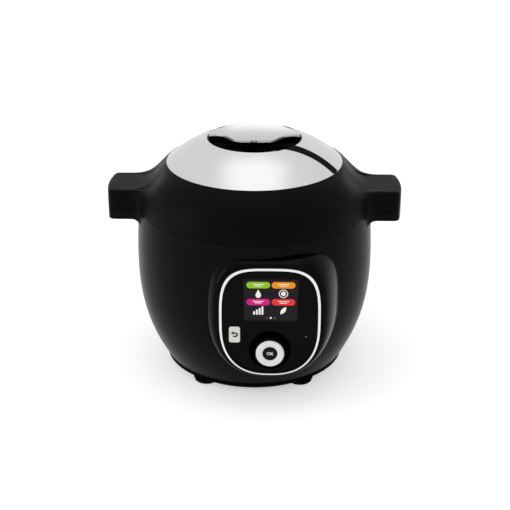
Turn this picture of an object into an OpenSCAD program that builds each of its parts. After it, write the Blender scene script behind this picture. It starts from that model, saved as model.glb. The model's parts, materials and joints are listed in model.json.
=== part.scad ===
// Electric pressure cooker: removable bowl, bayonet lid on a rear hinge, front control panel.
// Millimetres. +X right, +Y towards the hinge, +Z up. Origin on the table, on the bowl's axis.

/* [Bowl] */
// Inner radius of the cooking bowl
bowl_r = 117; // [95:0.5:145]
// Inner depth of the cooking bowl
bowl_depth = 140; // [110:1:180]
// Sheet thickness of the bowl
bowl_wall = 2; // [1.5:0.1:3]
// Width of the bowl's flange, from its wall to its edge
bowl_lip = 8; // [6:0.5:11]
// Height of the bowl's underside above the table
bowl_z = 62; // [60:1:80]

/* [Outer shell] */
// Space between the bowl's inner wall and the shell's widest radius
side_space = 38.3; // [36:0.1:50]
// Height at which the shell is widest
wide_z = 160; // [130:1:185]
// How much narrower the shell is at its lower edge
taper_in = 37; // [20:0.5:42]
// Height of the shell's lower edge
shell_z = 16.5; // [14:0.5:22]
// How much narrower the shell is at the parting plane
top_in = 3; // [1:0.1:6]
// Height from the bowl's flange to the parting plane
rim_rise = 21; // [19:0.5:26]
// Thickness of moulded walls
wall = 3; // [2:0.1:4]

/* [Handles] */
// How far a handle reaches out from the parting plane's circle
handle_out = 40; // [30:0.5:50]
// Width of a handle, front to back
handle_w = 74; // [50:1:90]
// Height of the handle's upper half above the parting plane
handle_up = 27; // [20:0.5:36]
// Thickness of the handle's lower plate
handle_down = 12; // [8:0.5:16]
// Corner radius of a handle in plan
handle_corner = 9; // [5:0.5:14]
// How far a handle's tip bulges in plan
handle_bulge = 3; // [0:0.5:6]
// Fillet radius between a handle and the body in plan
handle_fillet = 20; // [10:1:30]
// Radius of a handle's upper edge
handle_edge = 5; // [3:0.5:8]

/* [Lid] */
// Height of the dome's edge above the parting plane
dome_rise = 58; // [48:1:72]
// Width of the collar's shoulder in plan, from the parting plane's circle to the dome's edge
shoulder_w = 37.7; // [34:0.1:46]
// Height that the dome's sphere would rise above the dome's edge without the recess
dome_crown = 41.8; // [36:0.1:50]
// Radius of the round recess in the dome
recess_r = 61.5; // [55:0.5:66]
// Depth of the recess
recess_depth = 24; // [18:0.5:28]
// Thickness of the dome's metal
dome_t = 1.5; // [1:0.1:2.5]
// Angle at which the collar's shoulder meets the dome
shoulder_angle = 58; // [50:1:66]
// Length of the hollow curve from the dome's edge down to a handle's top
saddle = 36; // [28:1:44]

/* [Grip] */
// Height of the grip's crown above the recess's edge
grip_rise = 11; // [8:0.5:16]
// Half width of the grip at its middle
grip_mid = 40.5; // [30:0.5:44]
// Half width of the grip's arms at their ends
grip_arm = 8.5; // [6:0.5:14]
// Distance from the axis at which the grip is half way between the two widths
grip_waist = 34; // [26:0.5:40]
// Length over which the grip narrows
grip_blend = 5.6; // [4:0.1:8]
// Radius of the sphere that the grip's top is part of
grip_sphere = 400; // [250:5:600]
// Thickness of the grip's metal cap
grip_t = 3; // [2:0.1:4]

/* [Control panel] */
// Angle of the panel around the body, from the front
panel_turn = 0; // [0:0.5:6]
// Offset of the panel's centre to the right
panel_shift = 22.5; // [6:0.5:24]
// Height of the panel's centre
panel_z = 127; // [120:0.5:132]
// How far the panel stands proud of the shell's widest radius
panel_out = 6.7; // [5:0.1:12]
// Half width of the trim ring
ring_w = 62.8; // [56:0.1:66]
// Half height of the trim ring
ring_h = 73.1; // [66:0.1:78]
// Width of the trim ring's metal
ring_t = 3; // [2:0.1:4]
// Width of the display at its top edge
display_w = 69.2; // [60:0.1:74]
// Height of the display
display_h = 58.3; // [48:0.1:62]
// Outer radius of the selector knob
knob_r = 17.8; // [15:0.1:21]
// How far the knob stands out of the panel
knob_out = 9.7; // [6:0.1:14]
// Radius of the dish around the knob
dish_r = 27; // [24:0.1:30]
// Radius of the button in the middle of the knob
ok_r = 9.1; // [7:0.1:11]

/* [Lock] */
// Number of bayonet lugs
lugs = 6; // [5:1:7]
// Angle that one lug of the body spans
body_lug = 25; // [20:1:26]
// Angle that one lug of the lid spans
lid_lug = 23; // [18:1:26]
// Thickness of the lugs
lug_t = 3; // [2:0.1:4]

/* [Hinge] */
// Height of the hinge pin above the parting plane
hinge_up = 11; // [10.5:0.5:16]
// Gap between the collar at the parting plane and the hinge pin's centre
hinge_back = 7.6; // [7:0.1:14]
// Radius of the hinge pin
pin_r = 4; // [3:0.1:5]
// Radius of the hinge knuckles
knuckle_r = 10; // [8:0.5:10.5]
// Distance between the outer faces of the hinge
hinge_w = 94; // [80:1:110]
// Width of the lid's part of the hinge
hinge_lid_w = 62; // [50:1:66]

/* [Clearances] */
// Visible gap between lid and body
seam_gap = 0.6; // [0.4:0.1:1]
// Gap between parts that move past each other
free_gap = 0.5; // [0.3:0.1:1]
// Gap between fixed parts that sit in each other
fit_gap = 0.2; // [0.1:0.05:0.4]
// Gap between a running shaft and its bore
run_gap = 0.05; // [0.02:0.01:0.1]

/* [Hidden] */

round_fn = 96;   // sides shown on large round parts
small_fn = 48;   // sides shown on small round parts

// Heights
rim_z = bowl_z + bowl_wall + bowl_depth;
seam_z = rim_z + rim_rise;
lid_z = seam_z + seam_gap;
dome_z = seam_z + dome_rise;
handle_top = seam_z + handle_up;
dome_r = bowl_r + side_space - top_in - shoulder_w;
dome_sphere = (pow(dome_r, 2) + pow(dome_crown, 2)) / (2 * dome_crown);
sphere_z = dome_z + dome_crown - dome_sphere;
recess_z = sphere_z + sqrt(pow(dome_sphere, 2) - pow(recess_r, 2));
grip_z = recess_z + grip_rise;
floor_z = recess_z - recess_depth;
foot_h = 5;
tray_z = foot_h;

// Radii
bowl_out = bowl_r + bowl_wall;
flange_r = bowl_out + bowl_lip;
well_gap = 2.5;
well_t = 1.2;
well_r = bowl_out + well_gap;
well_flange_z = rim_z - bowl_wall - fit_gap;
lug_in = flange_r + 3.5;
bay_r = lug_in + 9.5;
bay_t = 2.5;
body_r = bowl_r + side_space;
low_r = body_r - taper_in;
// how sharply the shell's side turns in towards the floor
taper_power = 2.5;
seam_r = body_r - top_in;
lip_r = dome_r + 0.7;
lid_lug_r = bay_r - 1.5;
skirt_r = lug_in - 3.5;
skirt_t = 3;

// Panel plane and the positions of its controls, from the panel's centre
panel_y = body_r + panel_out;
knob_x = 0.4;
knob_z = -39.3;
display_x = 1.1;
display_z = 30;
display_foot = 2;
key_x = -43.9;
key_z = -17.1;
key_w = 13.7;
key_h = 21.4;
key_corner = 2.8;
light_x = 45.1;
light_z = -19.7;
face_in = 0.8;
face_t = 2.4;
dish_depth = 6;

// Hinge, spine and condensate cup
hinge_y = seam_r + hinge_back;
hinge_z = seam_z + hinge_up;
back_y = panel_y + 16;
spine_w = 104;
spine_low = 28;
spine_top = seam_z - handle_down + 9;
cup_w = 60;
cup_h = 66;
cup_z = 84;
cup_t = 1.6;
cup_y = body_r + 2;

// Lock mechanism under the dome
frame_t = 2;
plate_z = seam_z + 1.2;
plate_t = 3;
frame_z = plate_z + plate_t + 1.4;
spoke_w = 14;
spoke_at = [20, 140, 260];
post_at = [125, 245, 5];
post_ring = 62;
post_r = 5;
spindle_r = 8;
bush_r = 14;
hub_r = 24;
press_z = rim_z + 12;
press_t = 1.4;
carrier_z = press_z + press_t + 1.6;
carrier_t = 3;
body_lug_z = rim_z + 9;
lid_lug_z = body_lug_z - 0.8 - lug_t;
valve_y = 40;
ball_at = [45, 205];
safe_at = [60, 325];
duct_r = 13;
duct_t = 2;

// --- Shared shapes -----------------------------------------------------------------------

// Outer radius of the barrel at height z
function shell_r(z) = z < wide_z
    ? body_r - taper_in * pow((wide_z - z) / (wide_z - shell_z), taper_power)
    : body_r - top_in * pow((z - wide_z) / (seam_z - wide_z), 1.5);

// Barrel profile from z0 to z1, moved outwards by d, as a list of [radius, height]
function shell_line(z0, z1, d, n = 18) =
    [for (i = [0:n]) let (z = z0 + (z1 - z0) * i / n) [shell_r(z) + d, z]];

// Solid of revolution inside the barrel's surface, grown by d
module barrel_solid(d) {
    line = shell_line(shell_z, seam_z, d);
    rotate_extrude($fn = round_fn)
        polygon(concat([[0, tray_z - 20], [low_r + d, tray_z - 20]], line,
            [[seam_r + d, seam_z + 30], [0, seam_z + 30]]));
}

// Half angle at which the handle's fillet leaves the body
fillet_x = sqrt(pow(seam_r + handle_fillet, 2) - pow(handle_w / 2 + handle_fillet, 2));
fillet_a = atan2(handle_w / 2 + handle_fillet, fillet_x);

// One quarter of the plan outline with handles, moved inwards by d, from the tip to the rear
tip_n = 3;
corner_n = 4;
side_n = 2;
blend_n = 6;
round_n = 14;
quarter_n = tip_n + corner_n + side_n + blend_n + round_n;
tip_x = seam_r + handle_out;
corner_x = tip_x - handle_bulge - handle_corner;
corner_y = handle_w / 2 - handle_corner;
function tip_pt(s, d) = [tip_x - d - handle_bulge * s * s, corner_y * s];
function corner_pt(s, d) = [corner_x, corner_y]
    + (handle_corner - d) * [cos(90 * s), sin(90 * s)];
function side_pt(s, d) = [corner_x + (fillet_x - corner_x) * s, handle_w / 2 - d];
function blend_pt(s, d) = let (a = -90 - (90 - fillet_a) * s)
    [fillet_x, handle_w / 2 + handle_fillet] + (handle_fillet + d) * [cos(a), sin(a)];
function round_pt(s, d) = let (a = fillet_a + (90 - fillet_a) * s)
    (seam_r - d) * [cos(a), sin(a)];
function quarter(d) = concat(
    [for (i = [0:tip_n - 1]) tip_pt(i / tip_n, d)],
    [for (i = [0:corner_n - 1]) corner_pt(i / corner_n, d)],
    [for (i = [0:side_n - 1]) side_pt(i / side_n, d)],
    [for (i = [0:blend_n - 1]) blend_pt(i / blend_n, d)],
    [for (i = [0:round_n]) round_pt(i / round_n, d)]);

// Full loop from one quarter, by mirroring
function full_loop(q) = let (n = len(q) - 1) concat(
    [for (i = [0:n - 1]) q[i]],
    [for (i = [n:-1:1]) [-q[i].x, q[i].y]],
    [for (i = [0:n - 1]) [-q[i].x, -q[i].y]],
    [for (i = [n:-1:1]) [q[i].x, -q[i].y]]);
function plan_loop(d) = full_loop(quarter(d));

// Closed solid through rows of points, where the last row joins the first again
module ring_solid(rows) {
    k = len(rows[0]);
    m = len(rows);
    pts = [for (row = rows) for (p = row) p];
    faces = [for (j = [0:m - 1]) for (i = [0:k - 1])
        let (a = j * k + i, b = j * k + (i + 1) % k,
            c = ((j + 1) % m) * k + (i + 1) % k, e = ((j + 1) % m) * k + i)
        each [[a, c, b], [a, e, c]]];
    polyhedron(pts, faces, convexity = 8);
}

// Rounded square of the panel: nearly square above, rounder below. Half sizes w and h
panel_n = 96;
square_above = 3.7;
square_below = 2.5;
function panel_pt(a, w, h) = let (n = sin(a) > 0 ? square_above : square_below)
    [cos(a), sin(a)] / pow(pow(abs(cos(a)) / w, n) + pow(abs(sin(a)) / h, n), 1 / n);
function panel_loop(w, h) = [for (i = [0:panel_n - 1]) panel_pt(360 * i / panel_n, w, h)];

// Puts children at the panel's centre: local X right, Z up, and -Y out of the panel
module on_panel() {
    rotate([0, 0, panel_turn])
        translate([panel_shift, -panel_y, panel_z])
            children();
}

// Plate across the panel's plane, from y0 in front to y1 behind, from a flat outline
module panel_plate(y0, y1) {
    translate([0, y1, 0])
        rotate([90, 0, 0])
            linear_extrude(y1 - y0)
                children();
}

// Turned part about the knob's axis, from [radius, depth behind the panel] points
module knob_turned() {
    translate([knob_x, 0, knob_z])
        rotate([-90, 0, 0])
            rotate_extrude($fn = small_fn)
                children();
}

// Rectangle with rounded corners
module rounded(w, h, r) {
    square([w - 2 * r, h], center = true);
    square([w, h - 2 * r], center = true);
    for (x = [-1, 1], y = [-1, 1])
        translate([x * (w / 2 - r), y * (h / 2 - r)])
            circle(r, $fn = 32);
}

// Ring of rectangular section between two radii and two heights
module tube(r0, r1, z0, z1, fn = round_fn) {
    translate([0, 0, z0])
        difference() {
            cylinder(r = r1, h = z1 - z0, $fn = fn);
            translate([0, 0, -1])
                cylinder(r = r0, h = z1 - z0 + 2, $fn = fn);
        }
}

// Sector of a disc, centred on angle a
module sector(r, a, span, h) {
    n = 6;
    far = r / cos(span / n / 2);
    linear_extrude(h)
        polygon(concat([[0, 0]],
            [for (i = [0:n]) let (t = a + span * (i / n - 0.5)) far * [cos(t), sin(t)]]));
}

// Coil spring along Z with closed turns
module coil(r, wire, turns, h, steps = 14, sides = 6) {
    n = round(turns * steps);
    rows = [for (i = [0:n]) let (a = 360 * turns * i / n, z = wire + (h - 2 * wire) * i / n)
        [for (k = [0:sides - 1]) let (b = 360 * k / sides)
            [(r + wire * cos(b)) * cos(a), (r + wire * cos(b)) * sin(a), z + wire * sin(b)]]];
    pts = [for (row = rows) for (p = row) p];
    wraps = [for (j = [0:n - 1]) for (i = [0:sides - 1])
        let (p = j * sides + i, q = j * sides + (i + 1) % sides)
        each [[p, q, q + sides], [p, q + sides, p + sides]]];
    ends = [[for (i = [sides - 1:-1:0]) i], [for (i = [0:sides - 1]) n * sides + i]];
    polyhedron(pts, concat(wraps, ends), convexity = 8);
}

// Half sphere shell used by the dome, between the outer sphere and one that is t smaller
module dome_shell(t, r0, r1) {
    intersection() {
        translate([0, 0, sphere_z])
            difference() {
                sphere(dome_sphere, $fn = 200);
                sphere(dome_sphere - t, $fn = 200);
            }
        tube(r0, r1, dome_z - 12, grip_z);
    }
}

// --- Base --------------------------------------------------------------------------------

// Barrel wall with the handles' lower plates and the panel's window
module outer_shell() {
    color([0.11, 0.1, 0.1])
        difference() {
            union() {
                rotate_extrude($fn = round_fn)
                    polygon(concat(shell_line(shell_z + seam_gap, seam_z, 0),
                        [for (i = [18:-1:0]) shell_line(shell_z + seam_gap, seam_z, -wall)[i]]));
                difference() {
                    union() {
                        translate([0, 0, seam_z - handle_down])
                            linear_extrude(handle_down)
                                polygon(plan_loop(0));
                        intersection() {
                            handle_root();
                            translate([0, 0, seam_z - 2 * handle_down])
                                linear_extrude(2 * handle_down)
                                    polygon(plan_loop(0.5));
                        }
                    }
                    barrel_solid(-0.5);
                }
            }
            on_panel()
                panel_plate(-20, 60)
                    polygon(panel_loop(ring_w + 2, ring_h + 2));
            spout_hole(5);
        }
}

// Fillet under the handles, where they meet the barrel
module handle_root() {
    root = 9;
    low = seam_z - handle_down;
    r = shell_r(low);
    rotate_extrude($fn = round_fn)
        polygon(concat([[r - 2, low + 1], [r - 2, low - root], [r, low - root]],
            [for (i = [0:8]) let (a = 180 - 90 * i / 8)
                [r + root, low - root] + root * [cos(a), sin(a)]],
            [[r + root, low + 1]]));
}

// Hole for the condensate spout, through the shell and the rear spine
module spout_hole(r) {
    translate([0, bay_r, rim_z + 4])
        rotate([-90, 0, 0])
            cylinder(r = r, h = hinge_y - bay_r + 4, $fn = 32);
}

// Bottom tray with cooling slots, foot pads and screw bosses
flat_r = low_r - 10;
foot_ring = low_r - 20;
foot_r = 16;
foot_at = [39, 141, 219, 321];
tray_screw_at = [0, 90, 180, 270];
module base_tray() {
    color([0.05, 0.05, 0.05])
        difference() {
            union() {
                rotate_extrude($fn = round_fn)
                    polygon([[0, tray_z], [flat_r, tray_z], [low_r, tray_z + 7], [low_r, shell_z],
                        [low_r - wall - fit_gap, shell_z],
                        [low_r - wall - fit_gap, shell_z + 4],
                        [low_r - 2 * wall, shell_z + 4], [low_r - 2 * wall, tray_z + 8],
                        [flat_r - 2, tray_z + wall], [0, tray_z + wall]]);
                for (a = tray_screw_at)
                    rotate([0, 0, a])
                        translate([flat_r - 12, 0, tray_z + wall])
                            cylinder(r = 6, h = 12, $fn = 32);
                for (a = foot_at)
                    rotate([0, 0, a - 90])
                        translate([foot_ring, 0, tray_z + 0.6])
                            cylinder(r = foot_r + 1.5, h = 4.6, $fn = small_fn);
            }
            for (a = tray_screw_at)
                rotate([0, 0, a])
                    translate([flat_r - 12, 0, tray_z - 1])
                        cylinder(r = 2.2, h = 30, $fn = 32);
            for (i = [-4:4])
                translate([i * 10, 0, tray_z - 1])
                    linear_extrude(wall + 2)
                        for (y = [-40, 40])
                            translate([0, y])
                                rounded(4, 30, 1.9);
        }
}

module rubber_feet() {
    color([0.08, 0.08, 0.08])
        for (a = foot_at)
            rotate([0, 0, a - 90])
                translate([foot_ring, 0, 0])
                    rotate_extrude($fn = small_fn)
                        polygon([[0, 0], [foot_r - 1.5, 0], [foot_r, 1.5], [foot_r, foot_h], [0, foot_h]]);
}

// Plastic ring between the bayonet and the shell, with the condensate gutter
module upper_rim() {
    r0 = bay_r + bay_t + fit_gap;
    r1 = seam_r - wall - fit_gap;
    top = seam_z - 3;
    color([0.07, 0.07, 0.07])
        difference() {
            rotate_extrude($fn = round_fn)
                polygon([[r0, rim_z - 6], [r1, rim_z - 6], [r1, top], [r1 - 1.6, top],
                    [r1 - 2.2, rim_z + 4], [r0 + 1.8, rim_z + 4],
                    [r0 + 1.2, top - 3], [r0, top - 3]]);
            spout_hole(3.5);
        }
}

// Steel ring that holds the lid: flange under the bowl, wall, and inward lugs
module bayonet_ring() {
    color([0.7, 0.7, 0.72])
        difference() {
            union() {
                tube(well_r + 1.5, bay_r + bay_t, well_flange_z - well_t - 2, well_flange_z - well_t);
                tube(bay_r, bay_r + bay_t, well_flange_z - well_t, body_lug_z + lug_t);
                intersection() {
                    tube(lug_in, bay_r + 0.5, body_lug_z, body_lug_z + lug_t);
                    for (i = [0:lugs - 1])
                        translate([0, 0, body_lug_z - 1])
                            sector(bay_r + 6, (i + 0.5) * 360 / lugs, body_lug, lug_t + 2);
                }
            }
            spout_hole(3.6);
        }
}

// Sheet-metal well around the bowl
module inner_well() {
    low = bowl_z - 14;
    color([0.72, 0.72, 0.72])
        rotate_extrude($fn = round_fn)
            polygon([[well_r - 24, low], [well_r + well_t, low],
                [well_r + well_t, well_flange_z - well_t],
                [bay_r - fit_gap, well_flange_z - well_t], [bay_r - fit_gap, well_flange_z],
                [well_r, well_flange_z], [well_r, low + well_t], [well_r - 24, low + well_t]]);
}

// Removable bowl with a rounded foot and a rolled flange
module cooking_bowl() {
    foot = 14;
    color([0.45, 0.45, 0.46])
        rotate_extrude($fn = round_fn)
            polygon(concat([[0, bowl_z]],
                [for (i = [0:6]) let (a = -90 + 15 * i)
                    [bowl_out - foot + foot * cos(a), bowl_z + foot + foot * sin(a)]],
                [[bowl_out, rim_z - bowl_wall], [flange_r, rim_z - bowl_wall], [flange_r, rim_z],
                    [bowl_r + 1.5, rim_z], [bowl_r, rim_z - 1.5]],
                [for (i = [6:-1:0]) let (a = -90 + 15 * i)
                    [bowl_out - foot, bowl_z + foot] + (foot - bowl_wall) * [cos(a), sin(a)]],
                [[0, bowl_z + bowl_wall]]));
}

// Cast plate with a central hole for the sensor, on three legs
heater_r = bowl_out - 19;
heater_z = bowl_z - 9;
heater_hole = 19;
well_low = bowl_z - 14 + well_t;
module heating_plate() {
    color([0.66, 0.66, 0.67]) {
        rotate_extrude($fn = round_fn)
            polygon([[heater_hole, heater_z + 2], [40, heater_z], [heater_r, heater_z],
                [heater_r + 2, bowl_z - 4], [heater_r, bowl_z - 0.3], [heater_hole + 1, bowl_z - 0.3],
                [heater_hole, bowl_z - 1.3]]);
        for (a = [60, 180, 300])
            rotate([0, 0, a])
                translate([heater_r - 1, 0, well_low])
                    cylinder(r = 4, h = heater_z + 1 - well_low, $fn = 32);
    }
}

// Sheathed heating ring under the plate, with its two terminals
module heater_element() {
    ring = heater_r - 25;
    tube_r = 4;
    color([0.5, 0.5, 0.5]) {
        rotate_extrude($fn = round_fn)
            translate([ring, heater_z - tube_r])
                circle(tube_r, $fn = 32);
        for (x = [-12, 12])
            translate([x, ring - 2, heater_z - tube_r - 14])
                cylinder(r = 2.5, h = 12, $fn = 32);
    }
}

// Sprung sensor that touches the bowl's underside
sensor_r = 14;
sensor_low = bowl_z - 12;
module temperature_sensor() {
    color([0.8, 0.8, 0.8])
        rotate_extrude($fn = small_fn)
            polygon([[0, sensor_low + 3], [sensor_r - 2, sensor_low + 3], [sensor_r - 2, sensor_low],
                [sensor_r, sensor_low], [sensor_r, bowl_z - 1.1], [sensor_r - 1, bowl_z - 0.3],
                [0, bowl_z - 0.3]]);
}

bracket_z = bowl_z - 27;
module sensor_spring() {
    color([0.75, 0.75, 0.76])
        translate([0, 0, bracket_z + 2])
            coil(8.5, 0.9, 5, sensor_low + 3 - bracket_z - 2);
}

// Strap under the well that carries the sensor's spring
module sensor_bracket() {
    reach = well_r - 18;
    color([0.7, 0.7, 0.7])
        difference() {
            union() {
                translate([-reach, -10, bracket_z])
                    cube([2 * reach, 20, 2]);
                for (x = [-reach - 2, reach])
                    translate([x, -10, bracket_z])
                        cube([2, 20, bowl_z - 16 - bracket_z]);
                for (x = [-reach - 14, reach])
                    translate([x, -10, bowl_z - 16])
                        cube([14, 20, 2]);
                translate([0, 0, bracket_z])
                    cylinder(r = 16, h = 2, $fn = small_fn);
            }
            translate([0, 0, bracket_z - 1])
                cylinder(r = 5, h = 4, $fn = small_fn);
        }
}

module thermal_cutout() {
    color([0.85, 0.82, 0.75])
        translate([0, -32, heater_z - 9]) {
            cylinder(r = 8, h = 9, $fn = small_fn);
            translate([0, 0, -5])
                linear_extrude(5)
                    for (x = [-5, 5])
                        translate([x, 0])
                            square([1, 5], center = true);
        }
}

// Power board on four pillars, with transformer, relay and capacitors
board_y = 62;
board_z = tray_z + wall + 7;
module power_board() {
    color([0.1, 0.35, 0.16])
        translate([-48, board_y - 24, board_z])
            cube([96, 48, 1.6]);
    color([0.2, 0.2, 0.2])
        for (x = [-41, 41], y = [-19, 19])
            translate([x, board_y + y, tray_z + wall])
                cylinder(r = 3, h = board_z - tray_z - wall, $fn = 32);
    color([0.75, 0.65, 0.2])
        translate([-40, board_y - 16, board_z + 1.6])
            cube([26, 30, 16]);
    color([0.15, 0.3, 0.6])
        translate([-6, board_y - 14, board_z + 1.6])
            cube([18, 13, 13]);
    color([0.1, 0.1, 0.12])
        for (i = [0:2])
            translate([22 + i * 9, board_y + 6, board_z + 1.6])
                cylinder(r = 4, h = 12, $fn = 32);
}

module base_screws() {
    color([0.7, 0.7, 0.7])
        for (a = tray_screw_at)
            rotate([0, 0, a])
                translate([flat_r - 12, 0, tray_z + 1])
                    rotate_extrude($fn = 32)
                        polygon([[0, 0], [2.1, 0], [2.1, 20], [0, 20]]);
}

// --- Rear spine, hinge and condensate cup ---------------------------------------------------

// Flat outline of the spine seen from above
module spine_plan() {
    difference() {
        translate([0, back_y - 30])
            rounded(spine_w, 60, 12);
        circle(low_r - 14, $fn = round_fn);
    }
}

// Moulded spine behind the barrel: hinge ears, cup pocket and inlet pocket
module rear_spine() {
    ear_x = [-hinge_w / 2, hinge_lid_w / 2 + free_gap];
    ear_w = hinge_w / 2 - hinge_lid_w / 2 - free_gap;
    color([0.06, 0.06, 0.06])
        difference() {
            union() {
                translate([0, 0, spine_low])
                    linear_extrude(spine_top - spine_low)
                        spine_plan();
                for (x = ear_x)
                    hull() {
                        translate([x, hinge_y, hinge_z])
                            rotate([0, 90, 0])
                                cylinder(r = knuckle_r, h = ear_w, $fn = 48);
                        translate([x, hinge_y - 6, spine_top - 2])
                            cube([ear_w, 16, 1]);
                    }
            }
            barrel_solid(fit_gap);
            translate([-hinge_w, hinge_y, hinge_z])
                rotate([0, 90, 0])
                    cylinder(r = pin_r + 0.02, h = 2 * hinge_w, $fn = small_fn);
            translate([-cup_w / 2 - free_gap, cup_y - 8, cup_z - free_gap])
                cube([cup_w + 2 * free_gap, 40, cup_h + 2 * free_gap]);
            translate([0, back_y - inlet_d - fit_gap, inlet_z])
                translate([-inlet_w / 2 - fit_gap, 0, -inlet_h / 2 - fit_gap])
                    cube([inlet_w + 2 * fit_gap, 40, inlet_h + 2 * fit_gap]);
            spout_hole(4.2);
            translate([0, hinge_y, cup_z + cup_h - 2])
                cylinder(r = 4.2, h = rim_z + 8 - cup_z - cup_h + 2, $fn = 32);
        }
}

module hinge_pin() {
    color([0.78, 0.78, 0.8])
        translate([-hinge_w / 2, hinge_y, hinge_z])
            rotate([0, 90, 0])
                cylinder(r = pin_r, h = hinge_w, $fn = small_fn);
}

// Counterbalance spring around the pin, between the lid's two knuckles
spring_w = 26;
module hinge_spring() {
    color([0.6, 0.6, 0.62])
        translate([-spring_w / 2, hinge_y, hinge_z])
            rotate([0, 90, 0])
                coil(pin_r + 2.2, 1.1, 9, spring_w);
}

// Elbow that leads condensate from the gutter down to the cup
module drain_spout() {
    z = rim_z + 4;
    y0 = bay_r + bay_t + 3;
    color([0.15, 0.15, 0.15])
        difference() {
            union() {
                translate([0, y0, z])
                    rotate([-90, 0, 0])
                        cylinder(r = 3.3, h = hinge_y - y0, $fn = 32);
                translate([0, hinge_y, cup_z + cup_h + 1])
                    cylinder(r = 4, h = z + 3.9 - cup_z - cup_h - 1, $fn = 32);
            }
            translate([0, y0 - 1, z])
                rotate([-90, 0, 0])
                    cylinder(r = 2.2, h = hinge_y - y0 + 1, $fn = 32);
            translate([0, hinge_y, cup_z + cup_h])
                cylinder(r = 2.6, h = z - cup_z - cup_h, $fn = 32);
        }
}

// Clear cup that pulls off backwards
module condensate_cup() {
    color([0.75, 0.78, 0.8, 0.6])
        difference() {
            translate([0, 0, cup_z])
                linear_extrude(cup_h)
                    translate([0, (cup_y + back_y) / 2])
                        rounded(cup_w, back_y - cup_y, 3);
            translate([0, 0, cup_z + cup_t])
                linear_extrude(cup_h)
                    translate([0, (cup_y + back_y) / 2])
                        rounded(cup_w - 2 * cup_t, back_y - cup_y - 2 * cup_t, 1.6);
        }
}

// Appliance inlet in the foot of the spine
inlet_w = 30;
inlet_h = 22;
inlet_d = 20;
inlet_z = 52;
module power_inlet() {
    color([0.04, 0.04, 0.04])
        translate([0, back_y - 1, inlet_z])
            difference() {
                translate([-inlet_w / 2, -inlet_d + 1, -inlet_h / 2])
                    cube([inlet_w, inlet_d, inlet_h]);
                translate([0, 2, 0])
                    rotate([90, 0, 0])
                        linear_extrude(inlet_d - 2)
                            polygon([[-12, -8], [12, -8], [12, 3], [7, 8], [-7, 8], [-12, 3]]);
            }
}

module inlet_pins() {
    color([0.8, 0.75, 0.6])
        for (p = [[-7, -2], [0, 2.5], [7, -2]])
            translate([p.x - 1, back_y - inlet_d + 2, inlet_z + p.y - 2])
                cube([2, 13, 4]);
}

// --- Control panel --------------------------------------------------------------------------

// Growth of the housing's outline at a depth behind the panel's front: most to the sides
swell = 2.66;
swell_up = 0.47;
swell_left = 0.21;
swell_side = 0.79;
lip_w = 1.2;
function housing_grow(a, d) = let (most = swell + swell_up * sin(a) - swell_left * cos(a))
    lip_w + (most + swell_side * cos(2 * a)) * sqrt(max(d, 0));

// Depth at which a point of the growing outline meets the barrel, found by repetition
meet_steps = 18;
function meet(a, inset, k = 0, d = 20) = k == meet_steps ? d :
    let (g = housing_grow(a, d) - inset, p = panel_pt(a, ring_w + g, ring_h + g),
        r = shell_r(min(max(panel_z + p.y, shell_z), seam_z)) + fit_gap,
        e = panel_y - sqrt(max(r * r - pow(p.x + panel_shift, 2), 1)))
    meet(a, inset, k + 1, (d + 2 * e) / 3);

// Row of the housing at fraction s of the depth, where 0 is the front
function housing_row(s, inset, first) = [for (i = [0:panel_n - 1])
    let (a = 360 * i / panel_n, end = meet(a, inset), d = first + (end - first) * s * s,
        g = housing_grow(a, d) - inset, p = panel_pt(a, ring_w + g, ring_h + g))
    [p.x, d, p.y]];
function opening_row(d) = [for (p = panel_loop(ring_w + fit_gap, ring_h + fit_gap)) [p.x, d, p.y]];

// Pillow-shaped housing that swells out of the barrel around the ring
module panel_housing() {
    outer = [for (j = [0:6]) housing_row(j / 6, 0, 0)];
    inner = [for (j = [5:-1:1]) housing_row(j / 5, wall, wall + 0.4)];
    color([0.03, 0.03, 0.035])
        on_panel()
            ring_solid(concat(outer, inner, [opening_row(wall), opening_row(0)]));
}

module panel_ring() {
    color([0.78, 0.79, 0.8])
        on_panel()
            panel_plate(-0.9, wall)
                difference() {
                    polygon(panel_loop(ring_w, ring_h));
                    polygon(panel_loop(ring_w - ring_t, ring_h - ring_t));
                }
}

// Outline of the display, a little narrower at its foot
module display_outline(d) {
    w = display_w / 2 + d;
    h = display_h / 2 + d;
    translate([display_x, display_z])
        polygon([[-w, h], [w, h], [w - display_foot, -h], [display_foot - w, -h]]);
}

module panel_face() {
    color([0.16, 0.16, 0.17])
        on_panel()
            panel_plate(face_in, face_in + face_t)
                difference() {
                    polygon(panel_loop(ring_w - ring_t - fit_gap, ring_h - ring_t - fit_gap));
                    display_outline(fit_gap);
                    translate([knob_x, knob_z])
                        circle(dish_r, $fn = small_fn);
                    translate([key_x, key_z])
                        rounded(key_w + 2 * fit_gap, key_h + 2 * fit_gap, key_corner + fit_gap);
                    translate([light_x, light_z])
                        circle(1.3, $fn = 24);
                }
}

module display_window() {
    color([0.02, 0.02, 0.03, 0.6])
        on_panel()
            panel_plate(face_in + 0.1, face_in + 1.5)
                display_outline(0);
}

module display_module() {
    color([0.3, 0.3, 0.32])
        on_panel()
            translate([display_x, 0, display_z])
                panel_plate(face_in + 1.6, face_in + 8)
                    square([display_w - 6, display_h - 2], center = true);
}

// Board behind the panel, held on four pillars from the face
module control_board() {
    y = 14;
    color([0.1, 0.3, 0.2])
        on_panel() {
            panel_plate(y, y + 1.6)
                rounded(98, 118, 12);
            for (x = [-1, 1], z = [-1, 1])
                translate([x * 43, 0, z * 45])
                    panel_plate(face_in + face_t, y)
                        circle(3, $fn = 24);
            translate([display_x, 0, display_z])
                panel_plate(face_in + 8.1, y)
                    square([50, 10], center = true);
            translate([key_x, 0, key_z])
                panel_plate(face_in + face_t + 2.2, y)
                    square([6, 6], center = true);
        }
}

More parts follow.
